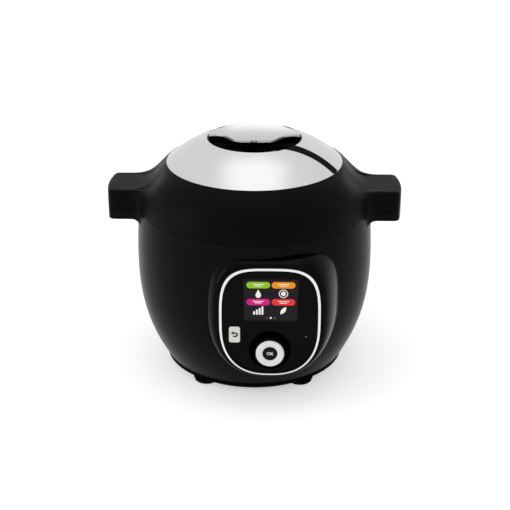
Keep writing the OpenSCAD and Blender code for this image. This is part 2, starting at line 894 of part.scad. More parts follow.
// Dish in which the knob sits
module knob_dish() {
    t = 1.4;
    r = dish_r - fit_gap;
    color([0.03, 0.03, 0.03])
        on_panel()
            knob_turned()
                polygon([[5, dish_depth], [r - 9, dish_depth], [r - 3, dish_depth - 2.4],
                    [r - 0.8, face_in + 0.2], [r, face_in], [r, face_in + face_t], [r - 1, dish_depth],
                    [r - 7, dish_depth + t], [5, dish_depth + t]]);
}

shaft_r = 3;
module rotary_encoder() {
    color([0.4, 0.4, 0.42])
        on_panel() {
            translate([knob_x, 0, knob_z])
                panel_plate(dish_depth + 1.5, 14)
                    square([13, 13], center = true);
            knob_turned()
                polygon([[0, -2], [shaft_r, -2], [shaft_r, dish_depth + 1.4], [0, dish_depth + 1.4]]);
        }
}

// Knob: turned metal ring on the encoder's shaft, with a well for the middle button
module knob() {
    c = ok_r + 0.25;
    back = dish_depth - 1;
    color([0.72, 0.73, 0.74])
        on_panel()
            knob_turned()
                polygon([[shaft_r + run_gap, -1.5], [c, -1.5], [c, -knob_out + 1.6], [c + 1, -knob_out + 1],
                    [knob_r - 2.6, -knob_out], [knob_r - 0.8, -knob_out + 0.5], [knob_r, -knob_out + 1.8],
                    [knob_r, 2.4], [knob_r - 1.2, back], [shaft_r + run_gap, back]]);
}

module ok_button() {
    color([0.05, 0.05, 0.05])
        on_panel()
            knob_turned()
                polygon([[0, -knob_out + 1.6], [ok_r - 1, -knob_out + 1.2], [ok_r, -knob_out + 2],
                    [ok_r, -3.2], [0, -3.2]]);
}

module return_button() {
    color([0.7, 0.7, 0.7])
        on_panel()
            translate([key_x, 0, key_z])
                panel_plate(-0.6, face_in + face_t + 1.2)
                    rounded(key_w, key_h, key_corner);
}

module status_light() {
    color([0.8, 0.8, 0.75])
        on_panel()
            translate([light_x, 0, light_z])
                panel_plate(face_in - 0.1, face_in + face_t + 2)
                    circle(1.2, $fn = 24);
}

// --- Lid --------------------------------------------------------------------------------------

// 1 over a handle, 0 around the front and the rear, by polar angle from a handle's middle
function over_handle(a) = let (s = min(max((a - 10) / 22, 0), 1)) 1 - s * s * (3 - 2 * s);

// Point of the collar's surface for plan column i and fraction t of the way up to the dome.
// d is the inset of the surface, so that 0 gives the outside and wall gives the inside.
side_part = 0.3;
edge_part = 0.45;
function collar_pt(i, t, d, top) =
    let (p0 = quarter(d)[i], a = atan2(p0.y, p0.x), r0 = norm(p0),
        rise = top - lid_z,
        // around the front and the rear: a convex shoulder
        b = shoulder_angle * t,
        rf = lip_r + (r0 - lip_r) * (cos(b) - cos(shoulder_angle)) / (1 - cos(shoulder_angle)),
        zf = lid_z + rise * sin(b) / sin(shoulder_angle),
        // over a handle: upright side, rounded edge, flat top and a hollow rise to the dome
        ht = handle_top - d,
        s = min(t / side_part, 1),
        e = 90 * min(max((t - side_part) / (edge_part - side_part), 0), 1),
        u = min(max((t - edge_part) / (1 - edge_part), 0), 1),
        er = max(handle_edge - d, 0.5),
        ps = p0 + (quarter(d + er)[i] - p0) * (1 - cos(e)),
        dome = lip_r * [cos(a), sin(a)],
        v = 1 - pow(1 - u, 1.25),
        pt = ps + (dome - ps) * v,
        out = min(max((norm(pt) - lip_r) / saddle, 0), 1),
        hollow = pow(1 - out, 2),
        zs = lid_z + (ht - er - lid_z) * s + er * sin(e),
        zh = u > 0 ? ht + (top - ht) * hollow : zs,
        w = over_handle(a),
        pf = rf * [cos(a), sin(a)],
        pxy = pf + (pt - pf) * w,
        z = zf + (zh - zf) * w)
    [pxy.x, pxy.y, z];

function collar_row(t, d, top) =
    let (q = [for (i = [0:quarter_n]) collar_pt(i, t, d, top)], n = quarter_n)
    concat([for (i = [0:n - 1]) q[i]],
        [for (i = [n:-1:1]) [-q[i].x, q[i].y, q[i].z]],
        [for (i = [0:n - 1]) [-q[i].x, -q[i].y, q[i].z]],
        [for (i = [n:-1:1]) [q[i].x, -q[i].y, q[i].z]]);

// Height of the collar's lip around the dome
collar_lip = 6;

// How much the collar's inside leans inwards for each millimetre of height, above its foot
lean_drop = lip_r + (seam_r - wall - lip_r) * (cos(shoulder_angle * side_part) - cos(shoulder_angle))
    / (1 - cos(shoulder_angle));
lean_rise = (dome_z - collar_lip - lid_z) * sin(shoulder_angle * side_part) / sin(shoulder_angle);
collar_lean = (seam_r - wall - lean_drop) / lean_rise;

// Moulded collar that carries the dome and flows out into the handles' upper halves
module lid_collar() {
    outer_t = [0, 0.15, 0.3, 0.35, 0.4, 0.45, 0.5, 0.57, 0.64, 0.71, 0.78, 0.85, 0.92, 1];
    inner_t = [1, 0.85, 0.7, 0.57, 0.45, 0.37, 0.3, 0];
    color([0.09, 0.09, 0.1])
        ring_solid(concat([for (t = outer_t) collar_row(t, 0, dome_z)],
            [for (t = inner_t) collar_row(t, wall, dome_z - collar_lip)]));
}

// Flat cover under the collar, out into the handles, with pillars up to the frame
cover_z = lid_z + 0.4;
cover_t = 2;
cover_in = wall + fit_gap + 0.2 + collar_lean * (cover_z + cover_t - lid_z);
lid_screw_at = [15, 75, 105, 165, 195, 255, 285, 345];
lid_screw_ring = skirt_r + 12;
module lid_inner_cover() {
    color([0.08, 0.08, 0.08])
        difference() {
            union() {
                translate([0, 0, cover_z])
                    linear_extrude(cover_t)
                        difference() {
                            polygon(plan_loop(cover_in));
                            circle(skirt_r + free_gap, $fn = round_fn);
                        }
                for (a = lid_screw_at)
                    rotate([0, 0, a])
                        translate([lid_screw_ring, 0, cover_z])
                            cylinder(r = 5, h = frame_z - cover_z, $fn = 32);
            }
            for (a = lid_screw_at)
                rotate([0, 0, a])
                    translate([lid_screw_ring, 0, cover_z - 1])
                        cylinder(r = 1.7, h = frame_z - cover_z + 2, $fn = 32);
        }
}

// Sheet-metal frame of the lid
frame_r = seam_r - wall - fit_gap - 0.2 - collar_lean * (frame_z + frame_t - lid_z);
module lid_frame() {
    color([0.7, 0.7, 0.72])
        difference() {
            translate([0, 0, frame_z])
                cylinder(r = frame_r, h = frame_t, $fn = round_fn);
            translate([0, 0, frame_z - 1]) {
                cylinder(r = bush_r, h = frame_t + 2, $fn = small_fn);
                translate([0, valve_y, 0])
                    cylinder(r = duct_r + fit_gap, h = frame_t + 2, $fn = small_fn);
                for (a = [45, 135, 225, 315])
                    rotate([0, 0, a])
                        translate([100, 0, 0])
                            cylinder(r = 18, h = frame_t + 2, $fn = small_fn);
            }
        }
}

// Profile of the collar's shoulder from radius r at its foot, as a list of [radius, height]
function shoulder_line(r, n = 14) = [for (i = [0:n])
    let (b = shoulder_angle * i / n, k = (cos(b) - cos(shoulder_angle)) / (1 - cos(shoulder_angle)))
    [lip_r + (r - lip_r) * k, lid_z + (dome_z - lid_z) * sin(b) / sin(shoulder_angle)]];

// Hinge knuckles with the web that is screwed to the collar's rear
module lid_hinge_arm() {
    w = hinge_lid_w;
    color([0.07, 0.07, 0.07])
        difference() {
            translate([-w / 2, 0, 0])
                rotate([90, 0, 90])
                    linear_extrude(w)
                        difference() {
                            union() {
                                translate([hinge_y, hinge_z])
                                    circle(knuckle_r, $fn = small_fn);
                                polygon([[seam_r - 8, lid_z + 1], [hinge_y, hinge_z - knuckle_r],
                                    [hinge_y + 4, hinge_z + 9], [hinge_y - 6, hinge_z + 13],
                                    [seam_r - 16, hinge_z + 19]]);
                            }
                            translate([hinge_y, hinge_z])
                                circle(pin_r + run_gap, $fn = small_fn);
                        }
            rotate_extrude($fn = round_fn)
                polygon(concat([[0, lid_z - 2], [seam_r + fit_gap, lid_z - 2]],
                    shoulder_line(seam_r + fit_gap), [[0, dome_z]]));
            translate([-spring_w / 2 - free_gap, hinge_y, hinge_z])
                rotate([0, 90, 0])
                    cylinder(r = pin_r + 4, h = spring_w + 2 * free_gap, $fn = small_fn);
        }
}

module lid_screws() {
    color([0.7, 0.7, 0.7])
        for (a = lid_screw_at)
            rotate([0, 0, a])
                translate([lid_screw_ring, 0, 0])
                    rotate_extrude($fn = 32)
                        polygon([[0, lid_z - 0.2], [2.8, lid_z - 0.2], [3.2, cover_z - 0.1],
                            [1.5, cover_z - 0.1], [1.5, frame_z - 0.1], [0, frame_z - 0.1]]);
}

// Outline of the marker strip in the dome, a curved band from the recess to the edge
marker_c = [68.4, -93.6];
marker_r = 57.7;
marker_w = 6.8;
module marker_band(d) {
    intersection() {
        difference() {
            translate(marker_c)
                circle(marker_r + marker_w / 2 - d, $fn = round_fn);
            translate(marker_c)
                circle(marker_r - marker_w / 2 + d, $fn = round_fn);
        }
        translate([30, -70])
            square([90, 60]);
    }
}

module dome() {
    color([0.82, 0.82, 0.83])
        difference() {
            dome_shell(dome_t, recess_r, dome_r);
            translate([0, 0, dome_z - 20])
                linear_extrude(80)
                    marker_band(0);
        }
}

module marker_strip() {
    color([0.05, 0.05, 0.06])
        intersection() {
            dome_shell(dome_t - 0.2, recess_r + 0.1, dome_r - 0.3);
            translate([0, 0, dome_z - 20])
                linear_extrude(80)
                    marker_band(0.1);
        }
}

// Ring inside the collar's lip that the dome rests on
module dome_support() {
    z = sphere_z + sqrt(pow(dome_sphere - dome_t, 2) - pow(dome_r, 2));
    color([0.06, 0.06, 0.06])
        difference() {
            tube(dome_r - 8, lip_r - 2 * fit_gap, dome_z - collar_lip, z + 6);
            translate([0, 0, sphere_z])
                difference() {
                    sphere(dome_sphere + 30, $fn = 200);
                    sphere(dome_sphere - dome_t - 0.1, $fn = 200);
                }
            tube(dome_r + 0.1, lip_r + 5, z - 0.5, z + 20);
        }
}

// Black cup of the recess, on a column that stands on the frame
column_r = 22;
module recess_cup() {
    r = recess_r - fit_gap;
    color([0.02, 0.02, 0.02])
        difference() {
            rotate_extrude($fn = round_fn)
                polygon([[17, floor_z], [r - 7, floor_z], [r - 2.2, floor_z + 8],
                    [r - 1.4, recess_z - 0.6], [r, recess_z - 0.6], [r + 0.2, floor_z + 7],
                    [r - 5, floor_z - 2.5], [column_r, floor_z - 2.5],
                    [column_r, frame_z + frame_t], [column_r - 2, frame_z + frame_t],
                    [column_r - 2, floor_z - 2.5], [17, floor_z - 2.5]]);
            for (i = [-2:2])
                translate([i * 4.4, valve_y, floor_z - 5])
                    linear_extrude(10)
                        rounded(2, 14, 0.9);
        }
}

// Tube that leads steam from the valve to the recess
module steam_duct() {
    color([0.12, 0.12, 0.12])
        translate([0, valve_y, 0])
            tube(duct_r - duct_t, duct_r, press_z + press_t + 0.6, floor_z - 2.6, small_fn);
}

module carrier_posts() {
    color([0.7, 0.7, 0.72])
        for (a = post_at)
            rotate([0, 0, a])
                translate([post_ring, 0, carrier_z + carrier_t])
                    cylinder(r = post_r, h = frame_z - carrier_z - carrier_t, $fn = small_fn);
}

// Three-armed carrier under the locking plate, with the stud for the pressure lid
module lid_carrier() {
    color([0.6, 0.6, 0.62]) {
        translate([0, 0, carrier_z])
            cylinder(r = 18, h = carrier_t, $fn = small_fn);
        for (a = post_at)
            rotate([0, 0, a]) {
                translate([10, -5, carrier_z])
                    cube([post_ring - 10, 10, carrier_t]);
                translate([post_ring, 0, carrier_z])
                    cylinder(r = 8, h = carrier_t, $fn = small_fn);
            }
        translate([0, 0, press_z - 13])
            cylinder(r = 6, h = carrier_z + 1 - press_z + 13, $fn = small_fn);
    }
}

// Dished stainless lid that closes the bowl
rim_step = 6;
module pressure_lid() {
    r = skirt_r - skirt_t - 1.2;
    low = press_z - rim_step;
    color([0.75, 0.75, 0.76])
        difference() {
            rotate_extrude($fn = round_fn)
                polygon([[6.1, press_z], [r - 15, press_z], [r - 11, low], [r - press_t, low],
                    [r - press_t, low - 2.5], [r, low - 2.5], [r, low + press_t], [r - 10, low + press_t],
                    [r - 14, press_z + press_t], [6.1, press_z + press_t]]);
            translate([0, valve_y, press_z - 1])
                cylinder(r = 6, h = 4, $fn = small_fn);
            rotate([0, 0, ball_at[1]])
                translate([ball_at[0], 0, press_z - 1])
                    cylinder(r = 4.4, h = 4, $fn = small_fn);
            rotate([0, 0, safe_at[1]])
                translate([safe_at[0], 0, press_z - 1])
                    cylinder(r = 4.1, h = 4, $fn = small_fn);
        }
}

// Silicone ring that seals on the bowl's flange
module lid_gasket() {
    r = skirt_r - skirt_t - 1.2 - press_t - 0.1;
    low = press_z - rim_step - 0.1;
    color([0.85, 0.85, 0.82])
        rotate_extrude($fn = round_fn)
            polygon([[r - 7, low], [r, low], [r, rim_z + 3], [r - 1, rim_z + 0.3], [r - 3, rim_z + 0.3],
                [r - 3.6, rim_z + 2.6], [r - 7, rim_z + 2.6], [r - 7.6, rim_z + 3.4]]);
}

// Winged nut that centres and holds the pressure lid
module centre_nut() {
    z = press_z - 0.1;
    color([0.15, 0.15, 0.16])
        difference() {
            union() {
                translate([0, 0, z - 8])
                    cylinder(r = 13, h = 8, $fn = small_fn);
                for (i = [0:11])
                    rotate([0, 0, i * 30])
                        translate([13, 0, z - 8])
                            cylinder(r = 1.8, h = 6, $fn = 24);
            }
            translate([0, 0, z - 20])
                cylinder(r = 6.1, h = 30, $fn = small_fn);
        }
}

module valve_seat() {
    color([0.78, 0.7, 0.45])
        translate([0, valve_y, 0]) {
            tube(5, 5.9, press_z - 1, press_z + press_t + 0.2, small_fn);
            tube(5, 9, press_z + press_t + 0.1, press_z + press_t + 5, small_fn);
        }
}

// Weighted valve that lifts off its seat to let steam out
module steam_valve() {
    z = press_z + press_t + 5;
    color([0.15, 0.15, 0.15])
        translate([0, valve_y, z])
            rotate_extrude($fn = small_fn)
                polygon([[0, -7], [2.5, -7], [3.6, 0.3], [9, 0.3], [9.6, 2], [9.6, 8], [7, 10], [0, 10]]);
}

// Perforated cap over the valve's inlet, inside the lid
module valve_cover() {
    color([0.2, 0.2, 0.2])
        difference() {
            translate([0, valve_y, press_z - 10])
                difference() {
                    cylinder(r1 = 13, r2 = 15, h = 9.9, $fn = small_fn);
                    translate([0, 0, 1.4])
                        cylinder(r1 = 11.6, r2 = 13.6, h = 12, $fn = small_fn);
                }
            for (i = [-2:2])
                translate([i * 4.4, valve_y, press_z - 12])
                    linear_extrude(6)
                        rounded(2, 14, 0.9);
        }
}

ball_r = 4;
module ball_cage() {
    z = press_z + press_t + 0.1;
    color([0.7, 0.7, 0.72])
        rotate([0, 0, ball_at[1]])
            translate([ball_at[0], 0, 0])
                difference() {
                    tube(2, 7, z, z + 8.4, small_fn);
                    translate([0, 0, z - 1])
                        cylinder(r = ball_r + 0.4, h = 8, $fn = small_fn);
                }
}

ball_low = press_z - 9 + 1.4;
module decompression_ball() {
    color([0.8, 0.8, 0.82])
        rotate([0, 0, ball_at[1]])
            translate([ball_at[0], 0, ball_low + ball_r + 0.1])
                sphere(ball_r, $fn = small_fn);
}

module ball_cover() {
    color([0.2, 0.2, 0.2])
        rotate([0, 0, ball_at[1]])
            translate([ball_at[0], 0, press_z - 9])
                difference() {
                    cylinder(r = 8, h = 8.9, $fn = small_fn);
                    translate([0, 0, 1.4])
                        cylinder(r = 5.5, h = 9, $fn = small_fn);
                    for (i = [0:2])
                        rotate([0, 0, i * 60])
                            translate([-10, -1, 3])
                                cube([20, 2, 4]);
                }
}

// Sprung relief valve
module safety_valve() {
    color([0.75, 0.68, 0.45])
        rotate([0, 0, safe_at[1]])
            translate([safe_at[0], 0, press_z])
                rotate_extrude($fn = small_fn)
                    polygon([[0, -5], [6, -5], [6, -3.2], [3.9, -3.2], [3.9, press_t + 0.3],
                        [6.5, press_t + 0.3], [6.5, press_t + 5], [0, press_t + 5]]);
}

// --- Lock ---------------------------------------------------------------------------------------

// Half width of the grip at a distance from the axis, and its outline inset by d
function grip_half(x) = grip_arm + (grip_mid - grip_arm) / (1 + exp((abs(x) - grip_waist) / grip_blend));
grip_end = recess_r - 2.5;
grip_n = 28;
module grip_plan(d) {
    xs = [for (i = [-grip_n:grip_n]) (grip_end + 3) * i / grip_n];
    intersection() {
        polygon(concat([for (x = xs) [x, -grip_half(x) + d]],
            [for (i = [2 * grip_n:-1:0]) [xs[i], grip_half(xs[i]) - d]]));
        circle(grip_end - d, $fn = round_fn);
    }
}

// Metal cap of the grip: a shallow spherical shell with an arm to each side, and a small notch
// in the middle of its front edge that shows how far the lock is turned
notch_r = 7;
notch_in = 1.5;
module grip_cap() {
    color([0.84, 0.84, 0.85])
        intersection() {
            translate([0, 0, grip_z - grip_sphere])
                difference() {
                    sphere(grip_sphere, $fn = 200);
                    sphere(grip_sphere - grip_t, $fn = 200);
                }
            translate([0, 0, recess_z - 10])
                linear_extrude(60)
                    difference() {
                        grip_plan(0);
                        translate([0, notch_in - notch_r - grip_half(0)])
                            circle(notch_r, $fn = small_fn);
                    }
        }
}

// Moulded core under the cap, narrowing to the hub that passes through the cup
module grip_core() {
    color([0.04, 0.04, 0.04]) {
        intersection() {
            translate([0, 0, grip_z - grip_sphere])
                sphere(grip_sphere - grip_t - 0.1, $fn = 200);
            union() {
                translate([0, 0, grip_z - 16])
                    linear_extrude(20)
                        intersection() {
                            grip_plan(1.5);
                            square([2 * grip_end, 2 * grip_arm + 8], center = true);
                        }
                translate([0, 0, floor_z + 1])
                    cylinder(r1 = 19, r2 = 30, h = grip_z - floor_z, $fn = small_fn);
            }
        }
        tube(spindle_r + fit_gap, 15, floor_z - 20, floor_z + 2, small_fn);
    }
}

module lock_spindle() {
    color([0.7, 0.7, 0.72])
        translate([0, 0, plate_z + plate_t])
            cylinder(r = spindle_r, h = floor_z + 0.9 - plate_z - plate_t, $fn = small_fn);
}

// Spoked steel plate with the skirt and outward lugs that lock under the body's lugs
module locking_plate() {
    color([0.65, 0.65, 0.67]) {
        translate([0, 0, plate_z]) {
            cylinder(r = hub_r, h = plate_t, $fn = small_fn);
            for (a = spoke_at)
                rotate([0, 0, a])
                    translate([10, -spoke_w / 2, 0])
                        cube([skirt_r - 20, spoke_w, plate_t]);
        }
        tube(skirt_r - 22, skirt_r, plate_z, plate_z + plate_t);
        tube(skirt_r - skirt_t, skirt_r, lid_lug_z, plate_z + 1);
        intersection() {
            tube(skirt_r - 1, lid_lug_r, lid_lug_z, lid_lug_z + lug_t);
            for (i = [0:lugs - 1])
                translate([0, 0, lid_lug_z - 1])
                    sector(lid_lug_r + 6, i * 360 / lugs, lid_lug, lug_t + 2);
        }
    }
}

// --- Drawing --------------------------------------------------------------------------------------

outer_shell();
base_tray();
rubber_feet();
upper_rim();
bayonet_ring();
inner_well();
cooking_bowl();
heating_plate();
heater_element();
temperature_sensor();
sensor_spring();
sensor_bracket();
thermal_cutout();
power_board();
base_screws();
rear_spine();
hinge_pin();
hinge_spring();
drain_spout();
condensate_cup();
power_inlet();
inlet_pins();
panel_housing();
panel_ring();
panel_face();
display_window();
display_module();
control_board();
knob_dish();
rotary_encoder();
knob();
ok_button();
return_button();
status_light();
lid_collar();
lid_inner_cover();
lid_frame();
lid_hinge_arm();
lid_screws();
dome();
dome_support();
marker_strip();
recess_cup();
steam_duct();
carrier_posts();
lid_carrier();
pressure_lid();
lid_gasket();
centre_nut();
valve_seat();
steam_valve();
valve_cover();
ball_cage();
decompression_ball();
ball_cover();
safety_valve();
grip_cap();
grip_core();
lock_spindle();
locking_plate();
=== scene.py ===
"""Finishes, fine parts, light and camera of an electric pressure cooker, on its CAD frame."""

import json
import math

import bmesh
import bpy
from bpy.props import FloatProperty, PointerProperty
from bpy.types import Operator, Panel, PropertyGroup
from mathutils import Matrix, Vector


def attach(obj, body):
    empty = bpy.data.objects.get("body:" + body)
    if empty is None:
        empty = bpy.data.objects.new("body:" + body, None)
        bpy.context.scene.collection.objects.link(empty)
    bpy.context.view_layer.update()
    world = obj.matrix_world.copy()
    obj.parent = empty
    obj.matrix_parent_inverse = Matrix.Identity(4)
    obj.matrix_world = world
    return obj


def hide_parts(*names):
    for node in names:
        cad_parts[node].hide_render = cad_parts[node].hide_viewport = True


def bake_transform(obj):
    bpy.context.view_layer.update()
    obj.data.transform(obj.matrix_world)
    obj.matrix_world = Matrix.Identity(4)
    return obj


bl_info = {
    "name": "Electric pressure cooker",
    "version": (1, 0, 0),
    "blender": (4, 5, 0),
    "location": "3D View > Sidebar > Cooker",
    "description": "Finishes, fine parts, light and camera for an electric pressure cooker",
    "category": "Object",
}

MM = 0.001
UP = Vector((0, 0, 1))

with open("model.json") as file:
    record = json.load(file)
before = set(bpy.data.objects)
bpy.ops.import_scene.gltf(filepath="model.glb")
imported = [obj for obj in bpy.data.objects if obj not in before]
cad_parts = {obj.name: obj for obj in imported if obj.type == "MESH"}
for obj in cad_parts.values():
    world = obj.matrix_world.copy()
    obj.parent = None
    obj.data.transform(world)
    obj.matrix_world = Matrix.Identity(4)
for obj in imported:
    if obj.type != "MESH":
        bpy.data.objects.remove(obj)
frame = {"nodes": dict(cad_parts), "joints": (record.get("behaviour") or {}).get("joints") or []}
nodes = frame["nodes"]
joints = {joint["name"]: joint for joint in frame["joints"]}
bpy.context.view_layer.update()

# The control panel's own axes, from the knob's shaft: right, up, and out towards the user
knob_centre = Vector(joints["knob_turn"]["pos_m"])
panel_out = Vector(joints["knob_turn"]["axis"]).normalized()
panel_right = UP.cross(panel_out).normalized()

# Places on the panel in millimetres: right of and above the knob's shaft, and out from its joint
DISPLAY = (0.7, 69.3)
RETURN_KEY = (-44.3, 22.2)
WINDOW_FRONT = -0.9
KEY_FRONT = 0.58
CAP_FRONT = 8.5

# The knob's painted shade, in millimetres: where the pale front starts on the shaft's axis, with the side
# below it painted dark, and how soft that edge is
KNOB_SHADE_TO = 7.6
KNOB_SHADE_EDGE = 0.3

# The panel's ring in millimetres: middle from the knob's shaft, half sizes and power of its oval,
# width of its bright line at the foot and the top, and how soft the line's edge is
# Inside its bright line the ring is painted dark as shade, and this painted shade is widest at the foot
RING_CENTRE = (-0.4, 39.3)
RING_HALF = (62.8, 73.1)
RING_POWER = 2.5
RING_LINE_FOOT = 1.5
RING_LINE_TOP = 3.6
RING_LINE_EDGE = 0.3
# Heights between which the line widens, as shares of the ring's half height over its middle
RING_WIDENS = (-0.95, 0.1)

# The display's drawing in millimetres: heights of its three layers over the window,
# the tiles' shift down, each tile's two lines of print and the gap to the sign below
GROUND_LAYER = 0.03
TILE_LAYER = 0.06
SIGN_LAYER = 0.09
GROUND_CORNER = 2.5
TILES_DOWN = 2.6
PRINT_LINES = ((14, 1.1), (9, -1.1))
PRINT_HEIGHT = 0.9
SIGN_GAP = 1.4
DOTS_UP = 3.4
DOT_STEP = 5
DOT_RADIUS = 0.9
PAGE_DOT_RADIUS = 1.3

# Heights of the ink and the letters on the keys, and the letters' added weight, in millimetres
INK_HEIGHT = 0.08
LETTER_HEIGHT = 0.1
LETTER_WEIGHT = 0.18

# The dome's sphere and the band inlaid in it, in millimetres
DOME_SPHERE = 178.0
DOME_CENTRE_Z = 146.8
DOME_RADIUS = 114.6
RECESS_RADIUS = 61.5
BAND_CENTRE = (60.0, -169.0)
BAND_RADIUS = 130.0
BAND_WIDTH = 13.4
BAND_PROUD = 0.3
BAND_ENDS = (RECESS_RADIUS + 0.3, DOME_RADIUS - 0.4)

# Filling levels on the bowl's wall: number and height, the wall's inner radius, the line's sizes,
# and the number's place across and in from the wall, its size and added weight, in millimetres
BOWL_LEVELS = (("2", 105), ("4", 140), ("6", 172))
BOWL_WALL = 116.8
LEVEL_WIDTH = 24
LEVEL_HEIGHT = 0.8
LEVEL_DEPTH = 0.4
NUMBER_ACROSS = -17.5
NUMBER_INSET = 1.6
NUMBER_SIZE = 7
NUMBER_WEIGHT = 0.1

# Lamps: name, place and aim in metres, width and height in metres, power in watts
LAMPS = (
    ("overhead", (0.0, 0.0, 2.2), (0, 0, 0.2), 1.5, 1.5, 4.6),
    ("behind", (0.0, 2.1, 0.75), (0, 0, 0.3), 0.45, 0.5, 0.6),
    ("left", (-1.9, -0.7, 0.7), (0, 0, 0.15), 0.8, 1.6, 8.0),
    ("right", (1.9, 0.2, 0.8), (0, 0, 0.15), 0.4, 1.6, 0.4),
)

# Half the floor's side in metres, and the camera's sensor in millimetres
FLOOR_HALF = 12.0
SENSOR_WIDTH = 36.0

# Edges sharper than this many degrees stay sharp
SHARP_EDGE = 35
# Part of a pattern's range over which a tint changes
TINT_RANGE = (0.35, 0.65)


# --- Colour and node helpers ----------------------------------------------------------------------


def linear(code):
    """Linear RGB of an sRGB hex colour such as '#1c1a1a'."""
    channels = [int(code[i : i + 2], 16) / 255 for i in (1, 3, 5)]
    return tuple(c / 12.92 if c <= 0.04045 else ((c + 0.055) / 1.055) ** 2.4 for c in channels)


def add(tree, kind, settings=None, values=None, links=None):
    """Adds a shader node, sets its properties and socket values, and links its inputs."""
    node = tree.nodes.new(kind)
    for name, value in (settings or {}).items():
        setattr(node, name, value)
    for socket, value in (values or {}).items():
        node.inputs[socket].default_value = value
    for socket, source in (links or {}).items():
        tree.links.new(source, node.inputs[socket])
    return node


def new_material(name, color, roughness, **sockets):
    """A Principled material. Socket names are given with underscores for spaces."""
    material = bpy.data.materials.new(name)
    material.use_nodes = True
    tree = material.node_tree
    shader = tree.nodes["Principled BSDF"]
    shader.inputs["Base Color"].default_value = (*linear(color), 1)
    shader.inputs["Roughness"].default_value = roughness
    for socket, value in sockets.items():
        shader.inputs[socket.replace("_", " ")].default_value = value
    return material, tree, shader


def spread(tree, source, from_min=0.0, from_max=1.0, to_min=0.0, to_max=1.0):
    """Maps a value from one range to another, held at the ends."""
    ends = {"From Min": from_min, "From Max": from_max, "To Min": to_min, "To Max": to_max}
    return add(tree, "ShaderNodeMapRange", values=ends, links={"Value": source}).outputs["Result"]


def maths(tree, operation, first, second=0.0):
    """A math node on sockets or numbers."""
    inputs = dict(enumerate((first, second)))
    numbers = {i: value for i, value in inputs.items() if isinstance(value, float)}
    sources = {i: value for i, value in inputs.items() if i not in numbers}
    return add(tree, "ShaderNodeMath", {"operation": operation}, numbers, sources).outputs[0]


def with_vector(tree, operation, source, vector):
    """A vector math node on a socket and a fixed vector."""
    return add(tree, "ShaderNodeVectorMath", {"operation": operation}, {1: tuple(vector)}, {0: source})


def offset_from(tree, centre):
    """The way from a point in metres to the shaded point."""
    place = add(tree, "ShaderNodeTexCoord")
    return with_vector(tree, "SUBTRACT", place.outputs["Object"], centre).outputs[0]


def grain(tree, size, detail=2.0, stretch=(1, 1, 1)):
    """Noise with features of a given size in millimetres, in the object's own coordinates."""
    place = add(tree, "ShaderNodeTexCoord")
    scaled = add(
        tree, "ShaderNodeMapping", values={"Scale": stretch}, links={"Vector": place.outputs["Object"]}
    )
    noise = add(
        tree,
        "ShaderNodeTexNoise",
        values={"Scale": 1 / (size * MM), "Detail": detail},
        links={"Vector": scaled.outputs["Vector"]},
    )
    return noise.outputs["Fac"]


def turning(tree, spacing, centre=(0, 0, 0), axis=UP):
    """Fine rings about an axis, as a lathe or a polishing wheel leaves them; spacing in millimetres."""
    crossed = with_vector(tree, "CROSS_PRODUCT", offset_from(tree, centre), axis)
    radius = add(tree, "ShaderNodeVectorMath", {"operation": "LENGTH"}, links={0: crossed.outputs[0]})
    noise = add(
        tree,
        "ShaderNodeTexNoise",
        {"noise_dimensions": "1D"},
        {"Scale": 1 / (spacing * MM), "Detail": 3.0},
        {"W": radius.outputs["Value"]},
    )
    return noise.outputs["Fac"]


def vary(tree, source, shader, socket, low, high):
    """Drives a shader socket between two values by a pattern."""
    tree.links.new(spread(tree, source, to_min=low, to_max=high), shader.inputs[socket])


def tint(tree, source, shader, dark, light):
    """Blends the base colour between two sRGB hex colours by a pattern."""
    ramp = add(tree, "ShaderNodeValToRGB", links={"Fac": source})
    for element, colour, position in zip(ramp.color_ramp.elements, (dark, light), TINT_RANGE):
        element.color = (*linear(colour), 1)
        element.position = position
    tree.links.new(ramp.outputs["Color"], shader.inputs["Base Color"])


def relief(tree, source, shader, depth, strength):
    """Bumps a surface by a pattern; depth in millimetres."""
    values = {"Strength": strength, "Distance": depth * MM}
    bump = add(tree, "ShaderNodeBump", values=values, links={"Height": source})
    tree.links.new(bump.outputs["Normal"], shader.inputs["Normal"])


# --- Materials ------------------------------------------------------------------------------------


def eroded_abs():
    """ABS from a spark-eroded mould: a fine dry grain that turns highlights soft."""
    material, tree, shader = new_material(
        "ABS, spark-eroded black", "#060607", 0.44, IOR=1.53, Specular_IOR_Level=0.04
    )
    fine = grain(tree, 0.7)
    relief(tree, fine, shader, 0.02, 0.35)
    vary(tree, grain(tree, 18), shader, "Roughness", 0.4, 0.48)
    return material


def shell_polypropylene():
    """Polypropylene moulding, warm black, smoother than the lid so that it shows soft window bands."""
    material, tree, shader = new_material(
        "Polypropylene, moulded warm black", "#110f0d", 0.28, IOR=1.49, Specular_IOR_Level=0.033
    )
    relief(tree, grain(tree, 0.9), shader, 0.012, 0.25)
    vary(tree, grain(tree, 26), shader, "Roughness", 0.23, 0.3)
    return material


def filled_polyamide():
    """Glass-filled polyamide for hot parts: dull, with a faint swirl of fibres."""
    material, tree, shader = new_material(
        "Polyamide, glass-filled black", "#060606", 0.6, IOR=1.53, Specular_IOR_Level=0.01
    )
    tint(tree, grain(tree, 3.0, 4.0, (1, 3, 1)), shader, "#040404", "#080808")
    relief(tree, grain(tree, 0.8), shader, 0.03, 0.4)
    return material


def gloss_abs():
    """High-gloss ABS from a polished mould, with the slight long wave that such parts have."""
    material, tree, shader = new_material(
        "ABS, high-gloss black", "#020203", 0.07, IOR=1.53, Specular_IOR_Level=0.045
    )
    relief(tree, grain(tree, 9, 0.0), shader, 0.02, 0.12)
    vary(tree, grain(tree, 14), shader, "Roughness", 0.05, 0.1)
    return material


